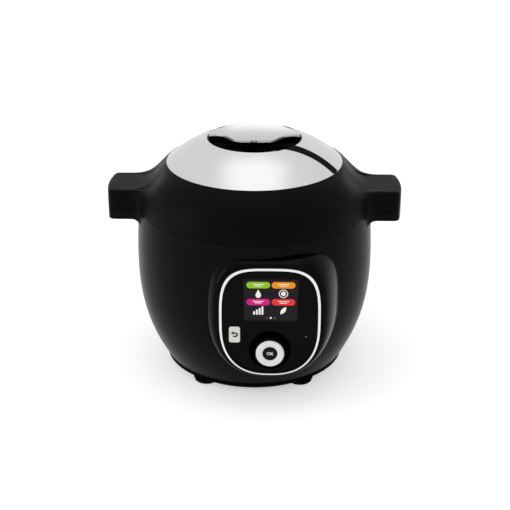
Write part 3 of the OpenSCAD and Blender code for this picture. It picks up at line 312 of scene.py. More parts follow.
def nitrile_rubber():
    """Nitrile rubber: dull black with a dusting of paler bloom."""
    material, tree, shader = new_material(
        "Nitrile rubber, moulded", "#0a0a0a", 0.8, IOR=1.52, Specular_IOR_Level=0.05
    )
    tint(tree, grain(tree, 1.6, 4.0), shader, "#070707", "#0e0e0e")
    relief(tree, grain(tree, 0.6), shader, 0.05, 0.5)
    return material


def satin_stainless():
    """Stainless steel pressed and polished on a wheel: bright, with a fine circular lay."""
    material, tree, shader = new_material("Stainless steel, wheel-polished", "#cdcecd", 0.3, Metallic=1.0)
    lay = turning(tree, 0.5)
    relief(tree, lay, shader, 0.01, 0.25)
    vary(tree, lay, shader, "Roughness", 0.26, 0.36)
    return material


def grip_aluminium():
    """Aluminium cap, blasted and anodised: even, pale and softly bright."""
    material, tree, shader = new_material(
        "Aluminium, blasted and anodised", "#bebfc0", 0.24, Metallic=1.0
    )
    relief(tree, grain(tree, 0.5), shader, 0.004, 0.1)
    vary(tree, grain(tree, 6), shader, "Roughness", 0.22, 0.27)
    return material


def trim_aluminium():
    """Anodised aluminium trim: pale satin with a turned lay, its inner part painted dark as shade, widest
    at the foot.
    """
    material, tree, shader = new_material(
        "Aluminium, turned and anodised", "#ececee", 0.32, Metallic=0.75
    )
    # Painted shade: inside its bright line the ring is tinted near black, widest at the foot
    bright = spread(tree, ring_unshaded_line(tree), -RING_LINE_EDGE / 2, RING_LINE_EDGE / 2)
    tint(tree, bright, shader, "#0c0c0d", "#ececee")
    lay = turning(tree, 0.35, knob_centre, panel_out)
    relief(tree, lay, shader, 0.008, 0.3)
    vary(tree, lay, shader, "Roughness", 0.26, 0.38)
    return material


def ring_unshaded_line(tree):
    """Millimetres by which a point of the panel's ring lies inside its bright line, beyond which the ring
    is painted dark as shade.
    """
    centre = knob_centre + (panel_right * RING_CENTRE[0] + UP * RING_CENTRE[1]) * MM
    offset = offset_from(tree, centre)
    shares = [
        maths(tree, "DIVIDE", with_vector(tree, "DOT_PRODUCT", offset, axis).outputs["Value"], half * MM)
        for axis, half in zip((panel_right, UP), RING_HALF)
    ]
    powers = [
        maths(tree, "POWER", maths(tree, "ABSOLUTE", share), RING_POWER) for share in shares
    ]
    radius = maths(tree, "POWER", maths(tree, "ADD", *powers), 1 / RING_POWER)
    inset = maths(tree, "MULTIPLY", maths(tree, "SUBTRACT", 1.0, radius), sum(RING_HALF) / 2)
    width = spread(tree, shares[1], *RING_WIDENS, RING_LINE_FOOT, RING_LINE_TOP)
    return maths(tree, "SUBTRACT", width, inset)


def stainless_sheet():
    """Brushed stainless sheet inside the lid: straight grain across X."""
    material, tree, shader = new_material("Stainless steel, brushed sheet", "#c9cacd", 0.28, Metallic=1.0)
    lay = grain(tree, 0.6, 3.0, (0.03, 1, 1))
    relief(tree, lay, shader, 0.012, 0.3)
    vary(tree, lay, shader, "Roughness", 0.2, 0.36)
    return material


def galvanised_sheet():
    """Galvanised sheet: zinc spangle gives broad pale patches."""
    material, tree, shader = new_material("Steel sheet, galvanised", "#b4b7ba", 0.4, Metallic=1.0)
    spangle = add(
        tree,
        "ShaderNodeTexVoronoi",
        values={"Scale": 1 / (7 * MM)},
        links={"Vector": add(tree, "ShaderNodeTexCoord").outputs["Object"]},
    )
    tint(tree, spangle.outputs["Distance"], shader, "#a2a6aa", "#c2c5c8")
    vary(tree, spangle.outputs["Distance"], shader, "Roughness", 0.3, 0.5)
    return material


def non_stick():
    """Sprayed fluoropolymer coating: charcoal with fine paler mica specks."""
    material, tree, shader = new_material("Fluoropolymer coating, sprayed", "#3a3a3c", 0.45, IOR=1.38)
    speck = grain(tree, 0.9, 1.0)
    tint(tree, speck, shader, "#303032", "#5a5a5d")
    relief(tree, grain(tree, 2.0), shader, 0.03, 0.3)
    return material


def cast_aluminium():
    """Die-cast aluminium: grey, slightly mottled and matt."""
    material, tree, shader = new_material("Aluminium, die-cast", "#a9abad", 0.45, Metallic=1.0)
    relief(tree, grain(tree, 1.2, 4.0), shader, 0.05, 0.4)
    vary(tree, grain(tree, 5), shader, "Roughness", 0.38, 0.55)
    return material


def drawn_steel():
    """Drawn spring steel: bright and smooth."""
    material, tree, shader = new_material("Spring steel, drawn", "#b9bbbf", 0.22, Metallic=1.0)
    vary(tree, grain(tree, 1.5), shader, "Roughness", 0.18, 0.3)
    return material


def element_sheath():
    """Heating element's sheath: oxidised steel, grey-brown and matt."""
    material, tree, shader = new_material("Steel, oxidised", "#55504b", 0.55, Metallic=0.8)
    tint(tree, grain(tree, 8, 4.0), shader, "#48433f", "#6a6259")
    return material


def steatite():
    """Steatite ceramic of the thermal cut-out: chalky and pale."""
    material, tree, shader = new_material("Steatite, fired", "#d8d3c6", 0.7, IOR=1.6)
    tint(tree, grain(tree, 1.0), shader, "#cfc9bb", "#dfdace")
    return material


def circuit_board():
    """Epoxy-glass board under green solder resist, with copper tracks that show through."""
    material, tree, shader = new_material("Epoxy-glass board, solder resist", "#0f4a26", 0.35, IOR=1.55)
    tracks = add(
        tree,
        "ShaderNodeTexBrick",
        values={
            "Scale": 1 / (9 * MM),
            "Mortar Size": 0.03,
            "Color1": (0, 0, 0, 1),
            "Color2": (0.1, 0.1, 0.1, 1),
        },
        links={"Vector": add(tree, "ShaderNodeTexCoord").outputs["Object"]},
    )
    tint(tree, tracks.outputs["Fac"], shader, "#0d4423", "#2f7a45")
    return material


def smoked_polycarbonate():
    """Smoked polycarbonate of the condensate cup: clear enough to see the water line."""
    material, tree, shader = new_material(
        "Polycarbonate, smoked", "#8b9094", 0.08, IOR=1.585, Transmission_Weight=0.9
    )
    vary(tree, grain(tree, 20), shader, "Roughness", 0.05, 0.12)
    return material


def plated_brass():
    """Nickel-plated brass: warm pale metal."""
    material, tree, shader = new_material("Brass, nickel-plated", "#c9bf9f", 0.25, Metallic=1.0)
    vary(tree, grain(tree, 2.0), shader, "Roughness", 0.2, 0.34)
    return material


def panel_film():
    """Screen-printed polycarbonate film on the panel: charcoal, with a velvet grain."""
    material, tree, shader = new_material(
        "Polycarbonate film, printed charcoal", "#0e0e0f", 0.4, IOR=1.58, Specular_IOR_Level=0.025
    )
    relief(tree, grain(tree, 0.6), shader, 0.012, 0.3)
    vary(tree, grain(tree, 12), shader, "Roughness", 0.36, 0.44)
    return material


def screen_acrylic():
    """Hard-coated acrylic over the display: black until lit, and glossy."""
    material, tree, shader = new_material(
        "Acrylic, hard-coated", "#050507", 0.06, IOR=1.49, Specular_IOR_Level=0.1
    )
    vary(tree, grain(tree, 30), shader, "Roughness", 0.04, 0.09)
    return material


def knob_silver():
    """Knob: satin silver lacquer on its front, paler than bare metal; its side is painted dark as shade.
    """
    material, tree, shader = new_material("ABS, satin silver lacquer", "#f6f6f6", 0.36, Metallic=0.2)
    # Painted shade: the knob's side, up to where the front starts, is tinted near black
    out = with_vector(tree, "DOT_PRODUCT", offset_from(tree, knob_centre), panel_out)
    front = spread(
        tree, out.outputs["Value"], KNOB_SHADE_TO * MM, (KNOB_SHADE_TO + KNOB_SHADE_EDGE) * MM
    )
    tint(tree, front, shader, "#0a0a0b", "#f6f6f6")
    lay = turning(tree, 0.4, knob_centre, panel_out)
    relief(tree, lay, shader, 0.006, 0.25)
    vary(tree, lay, shader, "Roughness", 0.3, 0.42)
    return material


def soft_black():
    """Soft-touch lacquer on the middle button: deep, dry black."""
    material, tree, shader = new_material(
        "Soft-touch lacquer, black", "#0e0e10", 0.55, IOR=1.5, Specular_IOR_Level=0.1
    )
    relief(tree, grain(tree, 0.5), shader, 0.01, 0.3)
    return material


def key_grey():
    """Moulded key: light grey ABS with a satin face."""
    material, tree, shader = new_material("ABS, light grey satin", "#f8f7f3", 0.4, IOR=1.53)
    relief(tree, grain(tree, 0.6), shader, 0.012, 0.3)
    return material


def light_lens():
    """Diffuse lens of the status light, unlit."""
    material, tree, shader = new_material("Polycarbonate, diffuse lens", "#4c4c49", 0.3, IOR=1.58)
    vary(tree, grain(tree, 0.8), shader, "Roughness", 0.25, 0.4)
    return material


def silicone():
    """Moulded silicone of the seal: milky and slightly translucent."""
    material, tree, shader = new_material(
        "Silicone, moulded", "#d9d8d2", 0.45, IOR=1.41, Subsurface_Weight=0.3, Subsurface_Scale=0.003
    )
    relief(tree, grain(tree, 1.2), shader, 0.02, 0.3)
    return material


def band_film():
    """Film inlaid in the dome: matt black with a trace of blue."""
    material, tree, shader = new_material(
        "Polyester film, matt blue-black", "#090a0e", 0.5, IOR=1.5, Specular_IOR_Level=0.02
    )
    vary(tree, grain(tree, 5), shader, "Roughness", 0.45, 0.55)
    return material


def recess_black():
    """Black moulding inside the lid's recess: smooth, so that its edge catches the light."""
    material, tree, shader = new_material(
        "ABS, smooth black", "#030304", 0.3, IOR=1.53, Specular_IOR_Level=0.05
    )
    vary(tree, grain(tree, 16), shader, "Roughness", 0.25, 0.35)
    return material


def lit(name, color):
    """A lit area of the display. Its light is even, with a faint cell pattern."""
    material, tree, shader = new_material(
        name, "#08080a", 0.12, IOR=1.49, Specular_IOR_Level=0.1, Emission_Strength=1.0
    )
    cells = grain(tree, 0.5)
    ramp = add(tree, "ShaderNodeValToRGB", links={"Fac": cells})
    ramp.color_ramp.elements[0].color = (*(0.9 * c for c in linear(color)), 1)
    ramp.color_ramp.elements[1].color = (*linear(color), 1)
    tree.links.new(ramp.outputs["Color"], shader.inputs["Emission Color"])
    return material


def ink(name, color):
    """Pad-printed ink or an etched mark: flat, even and barely shiny."""
    material, tree, shader = new_material(name, color, 0.5, IOR=1.5)
    vary(tree, grain(tree, 1.0), shader, "Roughness", 0.45, 0.55)
    return material


# --- Mesh helpers ---------------------------------------------------------------------------------


def finish_nodes(material, *names):
    """Gives CAD nodes a material and smooth shading."""
    for name in names:
        node = nodes[name]
        node.data.materials.clear()
        node.data.materials.append(material)
        weld = node.modifiers.new("weld", "WELD")
        weld.merge_threshold = 1e-6
        smooth(node)


def smooth(piece):
    """Shades a piece smooth but for its sharp edges."""
    piece.data.shade_smooth()
    split = piece.modifiers.new("sharp", "EDGE_SPLIT")
    split.split_angle = math.radians(SHARP_EDGE)


def new_piece(name, mesh, body, material):
    """Puts a mesh in the scene, on a body and in a material slot."""
    piece = bpy.data.objects.new(name, mesh)
    bpy.context.scene.collection.objects.link(piece)
    piece.data.materials.append(material)
    smooth(piece)
    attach(piece, body)
    return piece


def panel_matrix(x, y, out):
    """Placement on the panel: millimetres right of and above the knob's shaft, and out of the face."""
    place = knob_centre + (panel_right * x + UP * y + panel_out * out) * MM
    turn = Matrix((panel_right, UP, panel_out)).transposed().to_4x4()
    return Matrix.Translation(place) @ turn


def prism(outlines, height, matrix):
    """Mesh of flat outlines in millimetres, each raised by a height, placed by a matrix."""
    made = bmesh.new()
    for outline in outlines:
        low = [made.verts.new((x * MM, y * MM, 0)) for x, y in outline]
        high = [made.verts.new((x * MM, y * MM, height * MM)) for x, y in outline]
        made.faces.new(list(reversed(low)))
        made.faces.new(high)
        for i in range(len(outline)):
            j = (i + 1) % len(outline)
            made.faces.new((low[i], low[j], high[j], high[i]))
    made.transform(matrix)
    return made_mesh(made, "prism")


def made_mesh(made, name):
    """A mesh from a bmesh, which is freed."""
    mesh = bpy.data.meshes.new(name)
    made.to_mesh(mesh)
    made.free()
    return mesh


def arc(x, y, radius, start, end, count):
    """Points of a circular arc, angles in degrees."""
    angles = [math.radians(start + (end - start) * i / count) for i in range(count + 1)]
    return [(x + radius * math.cos(a), y + radius * math.sin(a)) for a in angles]


def rounded_box(x, y, width, height, radius):
    """Outline of a rounded rectangle about a centre."""
    w, h = width / 2 - radius, height / 2 - radius
    corners = ((w, h, 0), (-w, h, 90), (-w, -h, 180), (w, -h, 270))
    return [spot for cx, cy, a in corners for spot in arc(x + cx, y + cy, radius, a, a + 90, 6)]


def pill(x, y, width, height):
    """Outline of a bar with round ends, but for a short straight that keeps its points apart."""
    straight = 0.1
    return rounded_box(x, y, width, height, (height - straight) / 2)


def band(x, y, radius, width, start, end):
    """Outline of part of a ring."""
    count = 24
    outer = arc(x, y, radius + width / 2, start, end, count)
    inner = arc(x, y, radius - width / 2, end, start, count)
    return outer + inner


def lettering(text, size, weight, height, matrix):
    """Mesh of a short text, centred; size in millimetres."""
    curve = bpy.data.curves.new("lettering", "FONT")
    curve.body = text
    curve.size = size * MM
    curve.extrude = height * MM
    curve.offset = weight * MM
    curve.align_x = "CENTER"
    curve.align_y = "CENTER"
    holder = bpy.data.objects.new("lettering", curve)
    bpy.context.scene.collection.objects.link(holder)
    bpy.context.view_layer.update()
    mesh = bpy.data.meshes.new_from_object(holder)
    bpy.data.objects.remove(holder)
    mesh.transform(matrix)
    return mesh


# --- Properties -----------------------------------------------------------------------------------


class CookerPanelSettings(PropertyGroup):
    """Sizes of the display's drawing and of the printed marks, in millimetres."""

    screen_width: FloatProperty(name="Screen width", description="Display's lit width", default=66.0)
    screen_height: FloatProperty(name="Screen height", description="Display's lit height", default=55.0)
    tile_width: FloatProperty(name="Tile width", description="Width of a coloured tile", default=29.0)
    tile_height: FloatProperty(name="Tile height", description="Height of a coloured tile", default=8.6)
    column_step: FloatProperty(name="Column step", description="Between columns of tiles", default=31.0)
    row_step: FloatProperty(name="Row step", description="Between rows of tiles", default=23.0)
    sign_size: FloatProperty(name="Sign size", description="Height of a tile's sign", default=11.5)
    arrow_size: FloatProperty(name="Arrow size", description="Width of the return arrow", default=9.0)
    letter_size: FloatProperty(name="Letter size", description="Size of the knob's letters", default=5.6)


class CookerStudioSettings(PropertyGroup):
    """Camera and light."""

    azimuth: FloatProperty(
        name="Azimuth",
        description="Camera's turn to the right of the front",
        default=math.radians(1.25),
        subtype="ANGLE",
    )
    elevation: FloatProperty(
        name="Elevation",
        description="Camera's height above the horizon",
        default=math.radians(23.5),
        subtype="ANGLE",
    )
    distance: FloatProperty(name="Distance", description="Camera to aim", default=1.8, unit="LENGTH")
    aim_height: FloatProperty(
        name="Aim height", description="Height aimed at", default=0.1475, unit="LENGTH"
    )
    focal_pixels: FloatProperty(name="Focal length", description="Focal length in pixels", default=1340.0)
    centre_column: FloatProperty(
        name="Centre column", description="Pixel column of the object's axis", default=254.5
    )
    picture: FloatProperty(name="Picture", description="Side of the picture in pixels", default=510.0)
    ambient: FloatProperty(name="Ambient", description="World light on the object", default=0.62)
    floor_lift: FloatProperty(name="Floor lift", description="White added to the floor", default=0.5)


# --- Operators ------------------------------------------------------------------------------------


class COOKER_OT_body(Operator):
    """Finish the outer shell, rim, tray, feet and rear spine"""

    bl_idname = "cooker.body"
    bl_label = "Body"

    def execute(self, context):
        shell = ("outer_shell", "rear_spine", "upper_rim", "drain_spout")
        finish_nodes(shell_polypropylene(), *shell)
        finish_nodes(filled_polyamide(), "base_tray", "power_inlet")
        finish_nodes(nitrile_rubber(), "rubber_feet")
        finish_nodes(smoked_polycarbonate(), "condensate_cup")
        finish_nodes(plated_brass(), "inlet_pins")
        finish_nodes(drawn_steel(), "base_screws", "hinge_pin", "hinge_spring")
        return {"FINISHED"}


class COOKER_OT_inside(Operator):
    """Finish the bowl, well, heater, sensor and boards"""

    bl_idname = "cooker.inside"
    bl_label = "Inside"

    def execute(self, context):
        finish_nodes(non_stick(), "cooking_bowl")
        finish_nodes(galvanised_sheet(), "inner_well", "sensor_bracket")
        finish_nodes(stainless_sheet(), "bayonet_ring")
        finish_nodes(cast_aluminium(), "heating_plate", "temperature_sensor")
        steel = drawn_steel()
        finish_nodes(steel, "sensor_spring")
        compress_sensor_spring(steel)
        finish_nodes(element_sheath(), "heater_element", "display_module", "rotary_encoder")
        finish_nodes(steatite(), "thermal_cutout")
        finish_nodes(circuit_board(), "power_board", "control_board")
        return {"FINISHED"}


def compress_sensor_spring(material):
    """The sensor's spring between its seat and the sensor, as a free copy in place of the hidden node;
    the real spring shortens there.
    """
    mesh = nodes["sensor_spring"].data.copy()
    spring = bpy.data.objects.new("spring_coil", mesh)
    bpy.context.scene.collection.objects.link(spring)
    mesh.materials.clear()
    mesh.materials.append(material)
    smooth(spring)
    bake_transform(spring)
    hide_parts("sensor_spring")


class COOKER_OT_bowl_marks(Operator):
    """Mark three filling levels on the bowl's inner wall"""

    bl_idname = "cooker.bowl_marks"
    bl_label = "Bowl marks"

    def execute(self, context):
        grey = ink("Etched line, pale grey", "#9a9a9a")
        upright = Matrix.Rotation(math.pi / 2, 4, "X")
        for number, height in BOWL_LEVELS:
            new_piece(f"level_line_{number}", level_line(height), "base", grey)
            place = Vector((NUMBER_ACROSS, BOWL_WALL - NUMBER_INSET, height)) * MM
            matrix = Matrix.Translation(place) @ upright
            mesh = lettering(number, NUMBER_SIZE, NUMBER_WEIGHT, LETTER_HEIGHT, matrix)
            new_piece(f"level_number_{number}", mesh, "base", grey)
        return {"FINISHED"}


def level_line(height):
    """Mesh of a short line that follows the bowl's wall at a height in millimetres."""
    count = 24
    half_turn = LEVEL_WIDTH / 2 / BOWL_WALL
    low, high = height - LEVEL_HEIGHT / 2, height + LEVEL_HEIGHT / 2
    back = BOWL_WALL + LEVEL_DEPTH
    section = ((BOWL_WALL, low), (BOWL_WALL, high), (back, high), (back, low))
    made = bmesh.new()
    rows = []
    for i in range(count + 1):
        turn = (i / count * 2 - 1) * half_turn
        spots = [Vector((r * math.sin(turn), r * math.cos(turn), z)) * MM for r, z in section]
        rows.append([made.verts.new(spot) for spot in spots])
    for a, b in zip(rows, rows[1:]):
        for k in range(len(section)):
            n = (k + 1) % len(section)
            made.faces.new((a[k], a[n], b[n], b[k]))
    made.faces.new(rows[0])
    made.faces.new(list(reversed(rows[-1])))
    bmesh.ops.recalc_face_normals(made, faces=made.faces)
    return made_mesh(made, "level_line")


class COOKER_OT_lid(Operator):
    """Finish the lid: collar, dome, marker strip, recess and the parts inside"""

    bl_idname = "cooker.lid"
    bl_label = "Lid"

    def execute(self, context):
        finish_nodes(eroded_abs(), "lid_collar", "lid_hinge_arm")
        finish_nodes(shell_polypropylene(), "lid_inner_cover", "dome_support")
        finish_nodes(satin_stainless(), "dome")
        finish_nodes(recess_black(), "marker_strip", "recess_cup")
        trim = new_piece("marker_trim", dome_band(), "lid", band_film())
        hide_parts("marker_strip")
        finish_nodes(galvanised_sheet(), "lid_frame")
        sheet = ("pressure_lid", "carrier_posts", "ball_cage", "decompression_ball")
        finish_nodes(stainless_sheet(), *sheet)
        finish_nodes(cast_aluminium(), "lid_carrier")
        finish_nodes(silicone(), "lid_gasket")
        finish_nodes(drawn_steel(), "lid_screws")
        finish_nodes(plated_brass(), "valve_seat", "safety_valve")
        hot = ("steam_duct", "centre_nut", "steam_valve", "valve_cover", "ball_cover")
        finish_nodes(filled_polyamide(), *hot)
        return {"FINISHED"}


def dome_band():
    """Mesh of the dark band inlaid in the dome, from the recess to the edge, just proud of the metal."""
    across, along = 8, 48
    made = bmesh.new()
    sides = []
    for lift in (BAND_PROUD, -BAND_PROUD):
        rows = []
        for i in range(across + 1):
            radius = BAND_RADIUS + BAND_WIDTH * (i / across - 0.5)
            start, end = (crossing(radius, reach) for reach in BAND_ENDS)
            angles = [start + (end - start) * j / along for j in range(along + 1)]
            rows.append([made.verts.new(on_dome(radius, angle, lift)) for angle in angles])
        sides.append(rows)
    top, low = sides
    for i in range(across):
        for j in range(along):
            made.faces.new((top[i][j], top[i][j + 1], top[i + 1][j + 1], top[i + 1][j]))
            made.faces.new((low[i][j], low[i + 1][j], low[i + 1][j + 1], low[i][j + 1]))
    rim = [(0, j) for j in range(along)] + [(i, along) for i in range(across)]
    rim += [(across, along - j) for j in range(along)] + [(across - i, 0) for i in range(across)]
    for k, (i, j) in enumerate(rim):
        m, n = rim[(k + 1) % len(rim)]
        made.faces.new((top[i][j], low[i][j], low[m][n], top[m][n]))
    bmesh.ops.recalc_face_normals(made, faces=made.faces)
    return made_mesh(made, "dome_band")


def crossing(radius, reach):
    """Angle about the band's centre where an arc of a radius reaches a distance from the dome's axis."""
    low, high = math.radians(-30), math.radians(40)
    for _ in range(40):
        middle = (low + high) / 2
        x, y, _ = on_dome(radius, middle, 0)
        if math.hypot(x, y) < reach * MM:
            low = middle
        else:
            high = middle
    return low


def on_dome(radius, angle, lift):
    """A point of the dome's sphere from its place round the band's centre, raised by a lift."""
    x = BAND_CENTRE[0] + radius * math.sin(angle)
    y = BAND_CENTRE[1] + radius * math.cos(angle)
    z = math.sqrt(DOME_SPHERE**2 - x * x - y * y)
    grow = (DOME_SPHERE + lift) / DOME_SPHERE
    return Vector((x * grow, y * grow, DOME_CENTRE_Z + z * grow)) * MM


class COOKER_OT_lock(Operator):
    """Finish the grip and the locking plate"""

    bl_idname = "cooker.lock"
    bl_label = "Lock"

    def execute(self, context):
        finish_nodes(grip_aluminium(), "grip_cap")
        finish_nodes(recess_black(), "grip_core")
        finish_nodes(stainless_sheet(), "lock_spindle", "locking_plate")
        return {"FINISHED"}


class COOKER_OT_panel(Operator):
    """Finish the control panel's housing, ring, face, dish and keys"""

    bl_idname = "cooker.panel"
    bl_label = "Control panel"

    def execute(self, context):
        finish_nodes(gloss_abs(), "panel_housing")
        finish_nodes(recess_black(), "knob_dish")
        finish_nodes(trim_aluminium(), "panel_ring")
        finish_nodes(panel_film(), "panel_face")
        finish_nodes(screen_acrylic(), "display_window")
        finish_nodes(knob_silver(), "knob")
        finish_nodes(soft_black(), "ok_button")
        finish_nodes(key_grey(), "return_button")
        finish_nodes(light_lens(), "status_light")
        return {"FINISHED"}


class COOKER_OT_display(Operator):
    """Draw the display: a dim lit ground, four coloured tiles, a plain sign under each, and page dots"""

    bl_idname = "cooker.display"
    bl_label = "Display"

    def execute(self, context):
        settings = context.scene.cooker_panel
        width, height = settings.screen_width, settings.screen_height
        ground = rounded_box(0, 0, width, height, GROUND_CORNER)
        draw_on_display("screen_ground", [ground], GROUND_LAYER, lit("Display, dim ground", "#171417"))
        pale = lit("Display, white", "#f4f1ee")
        lines, signs = [], []
        for (name, colour, sign), (x, y) in zip(TILES, tile_places(settings)):
            tile_height = settings.tile_height
            tile = pill(x, y, settings.tile_width, tile_height)
            draw_on_display(f"screen_tile_{name}", [tile], TILE_LAYER, lit(f"Display, {name}", colour))
            lines += [pill(x, y + over, length, PRINT_HEIGHT) for length, over in PRINT_LINES]
            sign_y = y - (tile_height + settings.sign_size) / 2 - SIGN_GAP
            signs += sign(x, sign_y, settings.sign_size)
        draw_on_display("screen_lines", lines, SIGN_LAYER, pale)
        draw_on_display("screen_signs", signs, SIGN_LAYER, pale)
        dots_y = DOTS_UP - height / 2
        dots = [round_dot(x, dots_y, DOT_RADIUS) for x in (-DOT_STEP, DOT_STEP)]
        draw_on_display("screen_dots", dots, TILE_LAYER, lit("Display, grey", "#77706f"))
        page_dot = round_dot(0, dots_y, PAGE_DOT_RADIUS)
        draw_on_display("screen_page_dot", [page_dot], TILE_LAYER, pale)
        return {"FINISHED"}


class COOKER_OT_marks(Operator):
    """Print the return arrow on its key and the letters on the knob's cap"""

    bl_idname = "cooker.marks"
    bl_label = "Printed marks"

    def execute(self, context):
        settings = context.scene.cooker_panel
        place = panel_matrix(*RETURN_KEY, KEY_FRONT)
        arrow = prism(return_arrow(settings.arrow_size), INK_HEIGHT, place)
        black = ink("Ink, black", "#0a0a0a")
        new_piece("return_arrow", arrow, "return_button", black)
        cap = panel_matrix(0, 0, CAP_FRONT)
        letters = lettering("OK", settings.letter_size, LETTER_WEIGHT, LETTER_HEIGHT, cap)
        new_piece("cap_letters", letters, "ok_button", ink("Ink, white", "#f6f6f4"))
        return {"FINISHED"}


def tile_places(settings):
    """Middles of the display's four tiles, row by row from the top left."""
    half = settings.column_step / 2
    rows = (settings.row_step - TILES_DOWN, -TILES_DOWN)
    return [(x, y) for y in rows for x in (-half, half)]


def draw_on_display(name, outlines, height, material):
    """A flat drawing on the front of the display's window, at a height in millimetres over it."""
    mesh = prism(outlines, height, panel_matrix(*DISPLAY, WINDOW_FRONT))
    new_piece(name, mesh, "base", material)


def round_dot(x, y, radius):
    """Outline of a round dot."""
    return arc(x, y, radius, 0, 345, 23)


def drop_sign(x, y, size):
    """A drop."""
    r = size * 0.3
    low = arc(x, y - size / 2 + r, r, 152, 388, 20)
    return [low + [(x, y + size / 2)]]


def plate_sign(x, y, size):
    """A plate with its rim."""
    return halves(x, y, size * 0.45, size * 0.09) + [arc(x, y, size * 0.26, 0, 350, 35)]


def halves(x, y, radius, width):
    """A ring in two halves."""
    return [band(x, y, radius, width, 0, 180), band(x, y, radius, width, 180, 360)]


def bars_sign(x, y, size):
    """Four bars, each taller than the last."""
    step = size * 0.3
    return [
        rounded_box(x + (i - 1.5) * step, y - size / 2 + h * size / 2, size * 0.2, h * size, size * 0.06)
        for i, h in enumerate((0.4, 0.6, 0.8, 1.0))
    ]


def leaf_sign(x, y, size):
    """A leaf: two arcs that meet in points."""
    radius, half = size * 0.75, 45
    inset = radius * math.cos(math.radians(half))
    right = arc(-inset, 0, radius, -half, half, 14)
    left = arc(inset, 0, radius, 180 - half, 180 + half, 14)
    lean = math.radians(-35)
    c, s = math.cos(lean), math.sin(lean)
    return [[(x + u * c - v * s, y + u * s + v * c) for u, v in right + left[1:-1]]]


def return_arrow(size):
    """A return arrow: its head at the left, a bend at the right and a short tail below."""
    r, w = size * 0.25, size * 0.23
    bend = size / 2 - r - w / 2
    point, neck = -size / 2, -size * 0.14
    head = [(point, r), (neck, r - size * 0.3), (neck, r + size * 0.3)]
    shaft = rounded_box((neck + bend) / 2, r, bend - neck + 0.1, w, 0.02)
    tail = rounded_box((bend - size * 0.2) / 2, -r, bend + size * 0.2, w, 0.02)
    return [head, shaft, band(bend, 0, r, w, -90, 90), tail]


# The display's tiles: name, colour and the sign below
TILES = (
    ("green", "#8fc524", drop_sign),
    ("orange", "#ee9420", plate_sign),
    ("magenta", "#d8177f", bars_sign),
    ("red", "#ea3934", leaf_sign),
)


class COOKER_OT_stage(Operator):
    """Make the floor, lamps, world and camera"""

    bl_idname = "cooker.stage"
    bl_label = "Stage"

    def execute(self, context):
        studio = context.scene.cooker_studio
        make_floor(studio)
        make_world(studio)
        make_lamps()
        make_camera(studio)
        context.scene.view_settings.view_transform = "Standard"
        return {"FINISHED"}


def make_floor(studio):
    """A plain pale floor, lifted to white where the eye sees it."""
    corners = [(x * FLOOR_HALF, y * FLOOR_HALF, 0) for x, y in ((-1, -1), (1, -1), (1, 1), (-1, 1))]
    mesh = bpy.data.meshes.new("floor")
    mesh.from_pydata(corners, [], [(0, 1, 2, 3)])
    floor = bpy.data.objects.new("floor", mesh)
    bpy.context.scene.collection.objects.link(floor)
    material, tree, shader = new_material(
        "Paper, matt white", "#f4f4f4", 0.9, Specular_IOR_Level=0.0
    )
    shader.inputs["Emission Color"].default_value = (1, 1, 1, 1)
    lift = spread(tree, seen_directly(tree), to_max=studio.floor_lift)
    tree.links.new(lift, shader.inputs["Emission Strength"])
    mesh.materials.append(material)


def seen_directly(tree):
    """1 for rays that the eye follows, straight, mirrored or through glass; 0 for those that light."""
    ray = add(tree, "ShaderNodeLightPath").outputs
    mirrored = maths(tree, "MAXIMUM", ray["Is Glossy Ray"], ray["Is Transmission Ray"])
    return maths(tree, "MAXIMUM", ray["Is Camera Ray"], mirrored)


def make_world(studio):
    """A white world as seen, which lights the object less."""
    world = bpy.data.worlds.new("studio")
    bpy.context.scene.world = world
    world.use_nodes = True
    tree = world.node_tree
    strength = spread(tree, seen_directly(tree), to_min=studio.ambient)
    background = tree.nodes["Background"]
    tree.links.new(strength, background.inputs["Strength"])
    background.inputs["Color"].default_value = (1, 1, 1, 1)


def make_lamps():
    """Softboxes: one overhead, one behind for the grip's top, and a strong left and a weak right."""
    for name, place, aim, width, height, power in LAMPS:
        data = bpy.data.lights.new(name, "AREA")
        data.shape = "RECTANGLE"
        data.size = width
        data.size_y = height
        data.energy = power
        lamp = bpy.data.objects.new(name, data)
        lamp.location = place
        lamp.rotation_euler = (Vector(aim) - Vector(place)).to_track_quat("-Z", "Y").to_euler()
        bpy.context.scene.collection.objects.link(lamp)


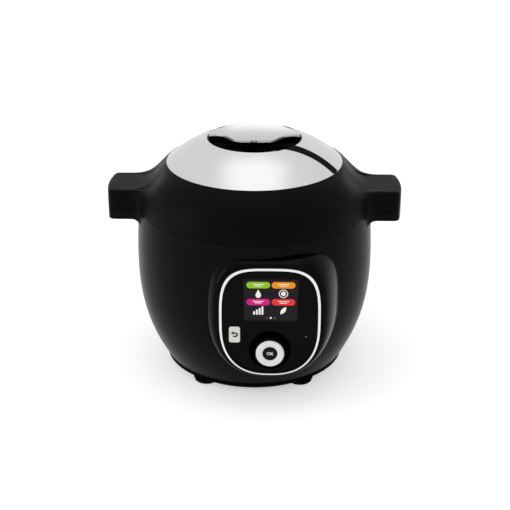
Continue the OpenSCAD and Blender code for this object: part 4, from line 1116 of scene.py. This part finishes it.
def make_camera(studio):
    """The camera, aimed at a height on the object's axis."""
    level, rise = math.cos(studio.elevation), math.sin(studio.elevation)
    back = Vector((math.sin(studio.azimuth) * level, -math.cos(studio.azimuth) * level, rise))
    data = bpy.data.cameras.new("camera")
    data.sensor_width = SENSOR_WIDTH
    data.lens = studio.focal_pixels * data.sensor_width / studio.picture
    data.shift_x = (studio.picture / 2 - studio.centre_column) / studio.picture
    camera = bpy.data.objects.new("camera", data)
    camera.location = Vector((0, 0, studio.aim_height)) + back * studio.distance
    camera.rotation_euler = (-back).to_track_quat("-Z", "Y").to_euler()
    bpy.context.scene.collection.objects.link(camera)
    bpy.context.scene.camera = camera


class COOKER_PT_sidebar(Panel):
    """Buttons for the operators, and the settings below them"""

    bl_label = "Electric pressure cooker"
    bl_idname = "COOKER_PT_sidebar"
    bl_space_type = "VIEW_3D"
    bl_region_type = "UI"
    bl_category = "Cooker"

    def draw(self, context):
        column = self.layout.column()
        for operator in OPERATORS:
            column.operator(operator.bl_idname)
        for group in (context.scene.cooker_panel, context.scene.cooker_studio):
            for name in group.__annotations__:
                column.prop(group, name)


OPERATORS = (
    COOKER_OT_body,
    COOKER_OT_inside,
    COOKER_OT_bowl_marks,
    COOKER_OT_lid,
    COOKER_OT_lock,
    COOKER_OT_panel,
    COOKER_OT_display,
    COOKER_OT_marks,
    COOKER_OT_stage,
)
CLASSES = (CookerPanelSettings, CookerStudioSettings, *OPERATORS, COOKER_PT_sidebar)


def register():
    """Registers the classes and hangs the settings on the scene."""
    for cls in CLASSES:
        bpy.utils.register_class(cls)
    bpy.types.Scene.cooker_panel = PointerProperty(type=CookerPanelSettings)
    bpy.types.Scene.cooker_studio = PointerProperty(type=CookerStudioSettings)


def unregister():
    """Undoes register."""
    del bpy.types.Scene.cooker_studio
    del bpy.types.Scene.cooker_panel
    for cls in reversed(CLASSES):
        bpy.utils.unregister_class(cls)


def main():
    """Builds the visual model round the CAD frame."""
    register()
    bpy.ops.cooker.body()
    bpy.ops.cooker.inside()
    bpy.ops.cooker.bowl_marks()
    bpy.ops.cooker.lid()
    bpy.ops.cooker.lock()
    bpy.ops.cooker.panel()
    bpy.ops.cooker.display()
    bpy.ops.cooker.marks()
    bpy.ops.cooker.stage()


if __name__ == "__main__":
    main()
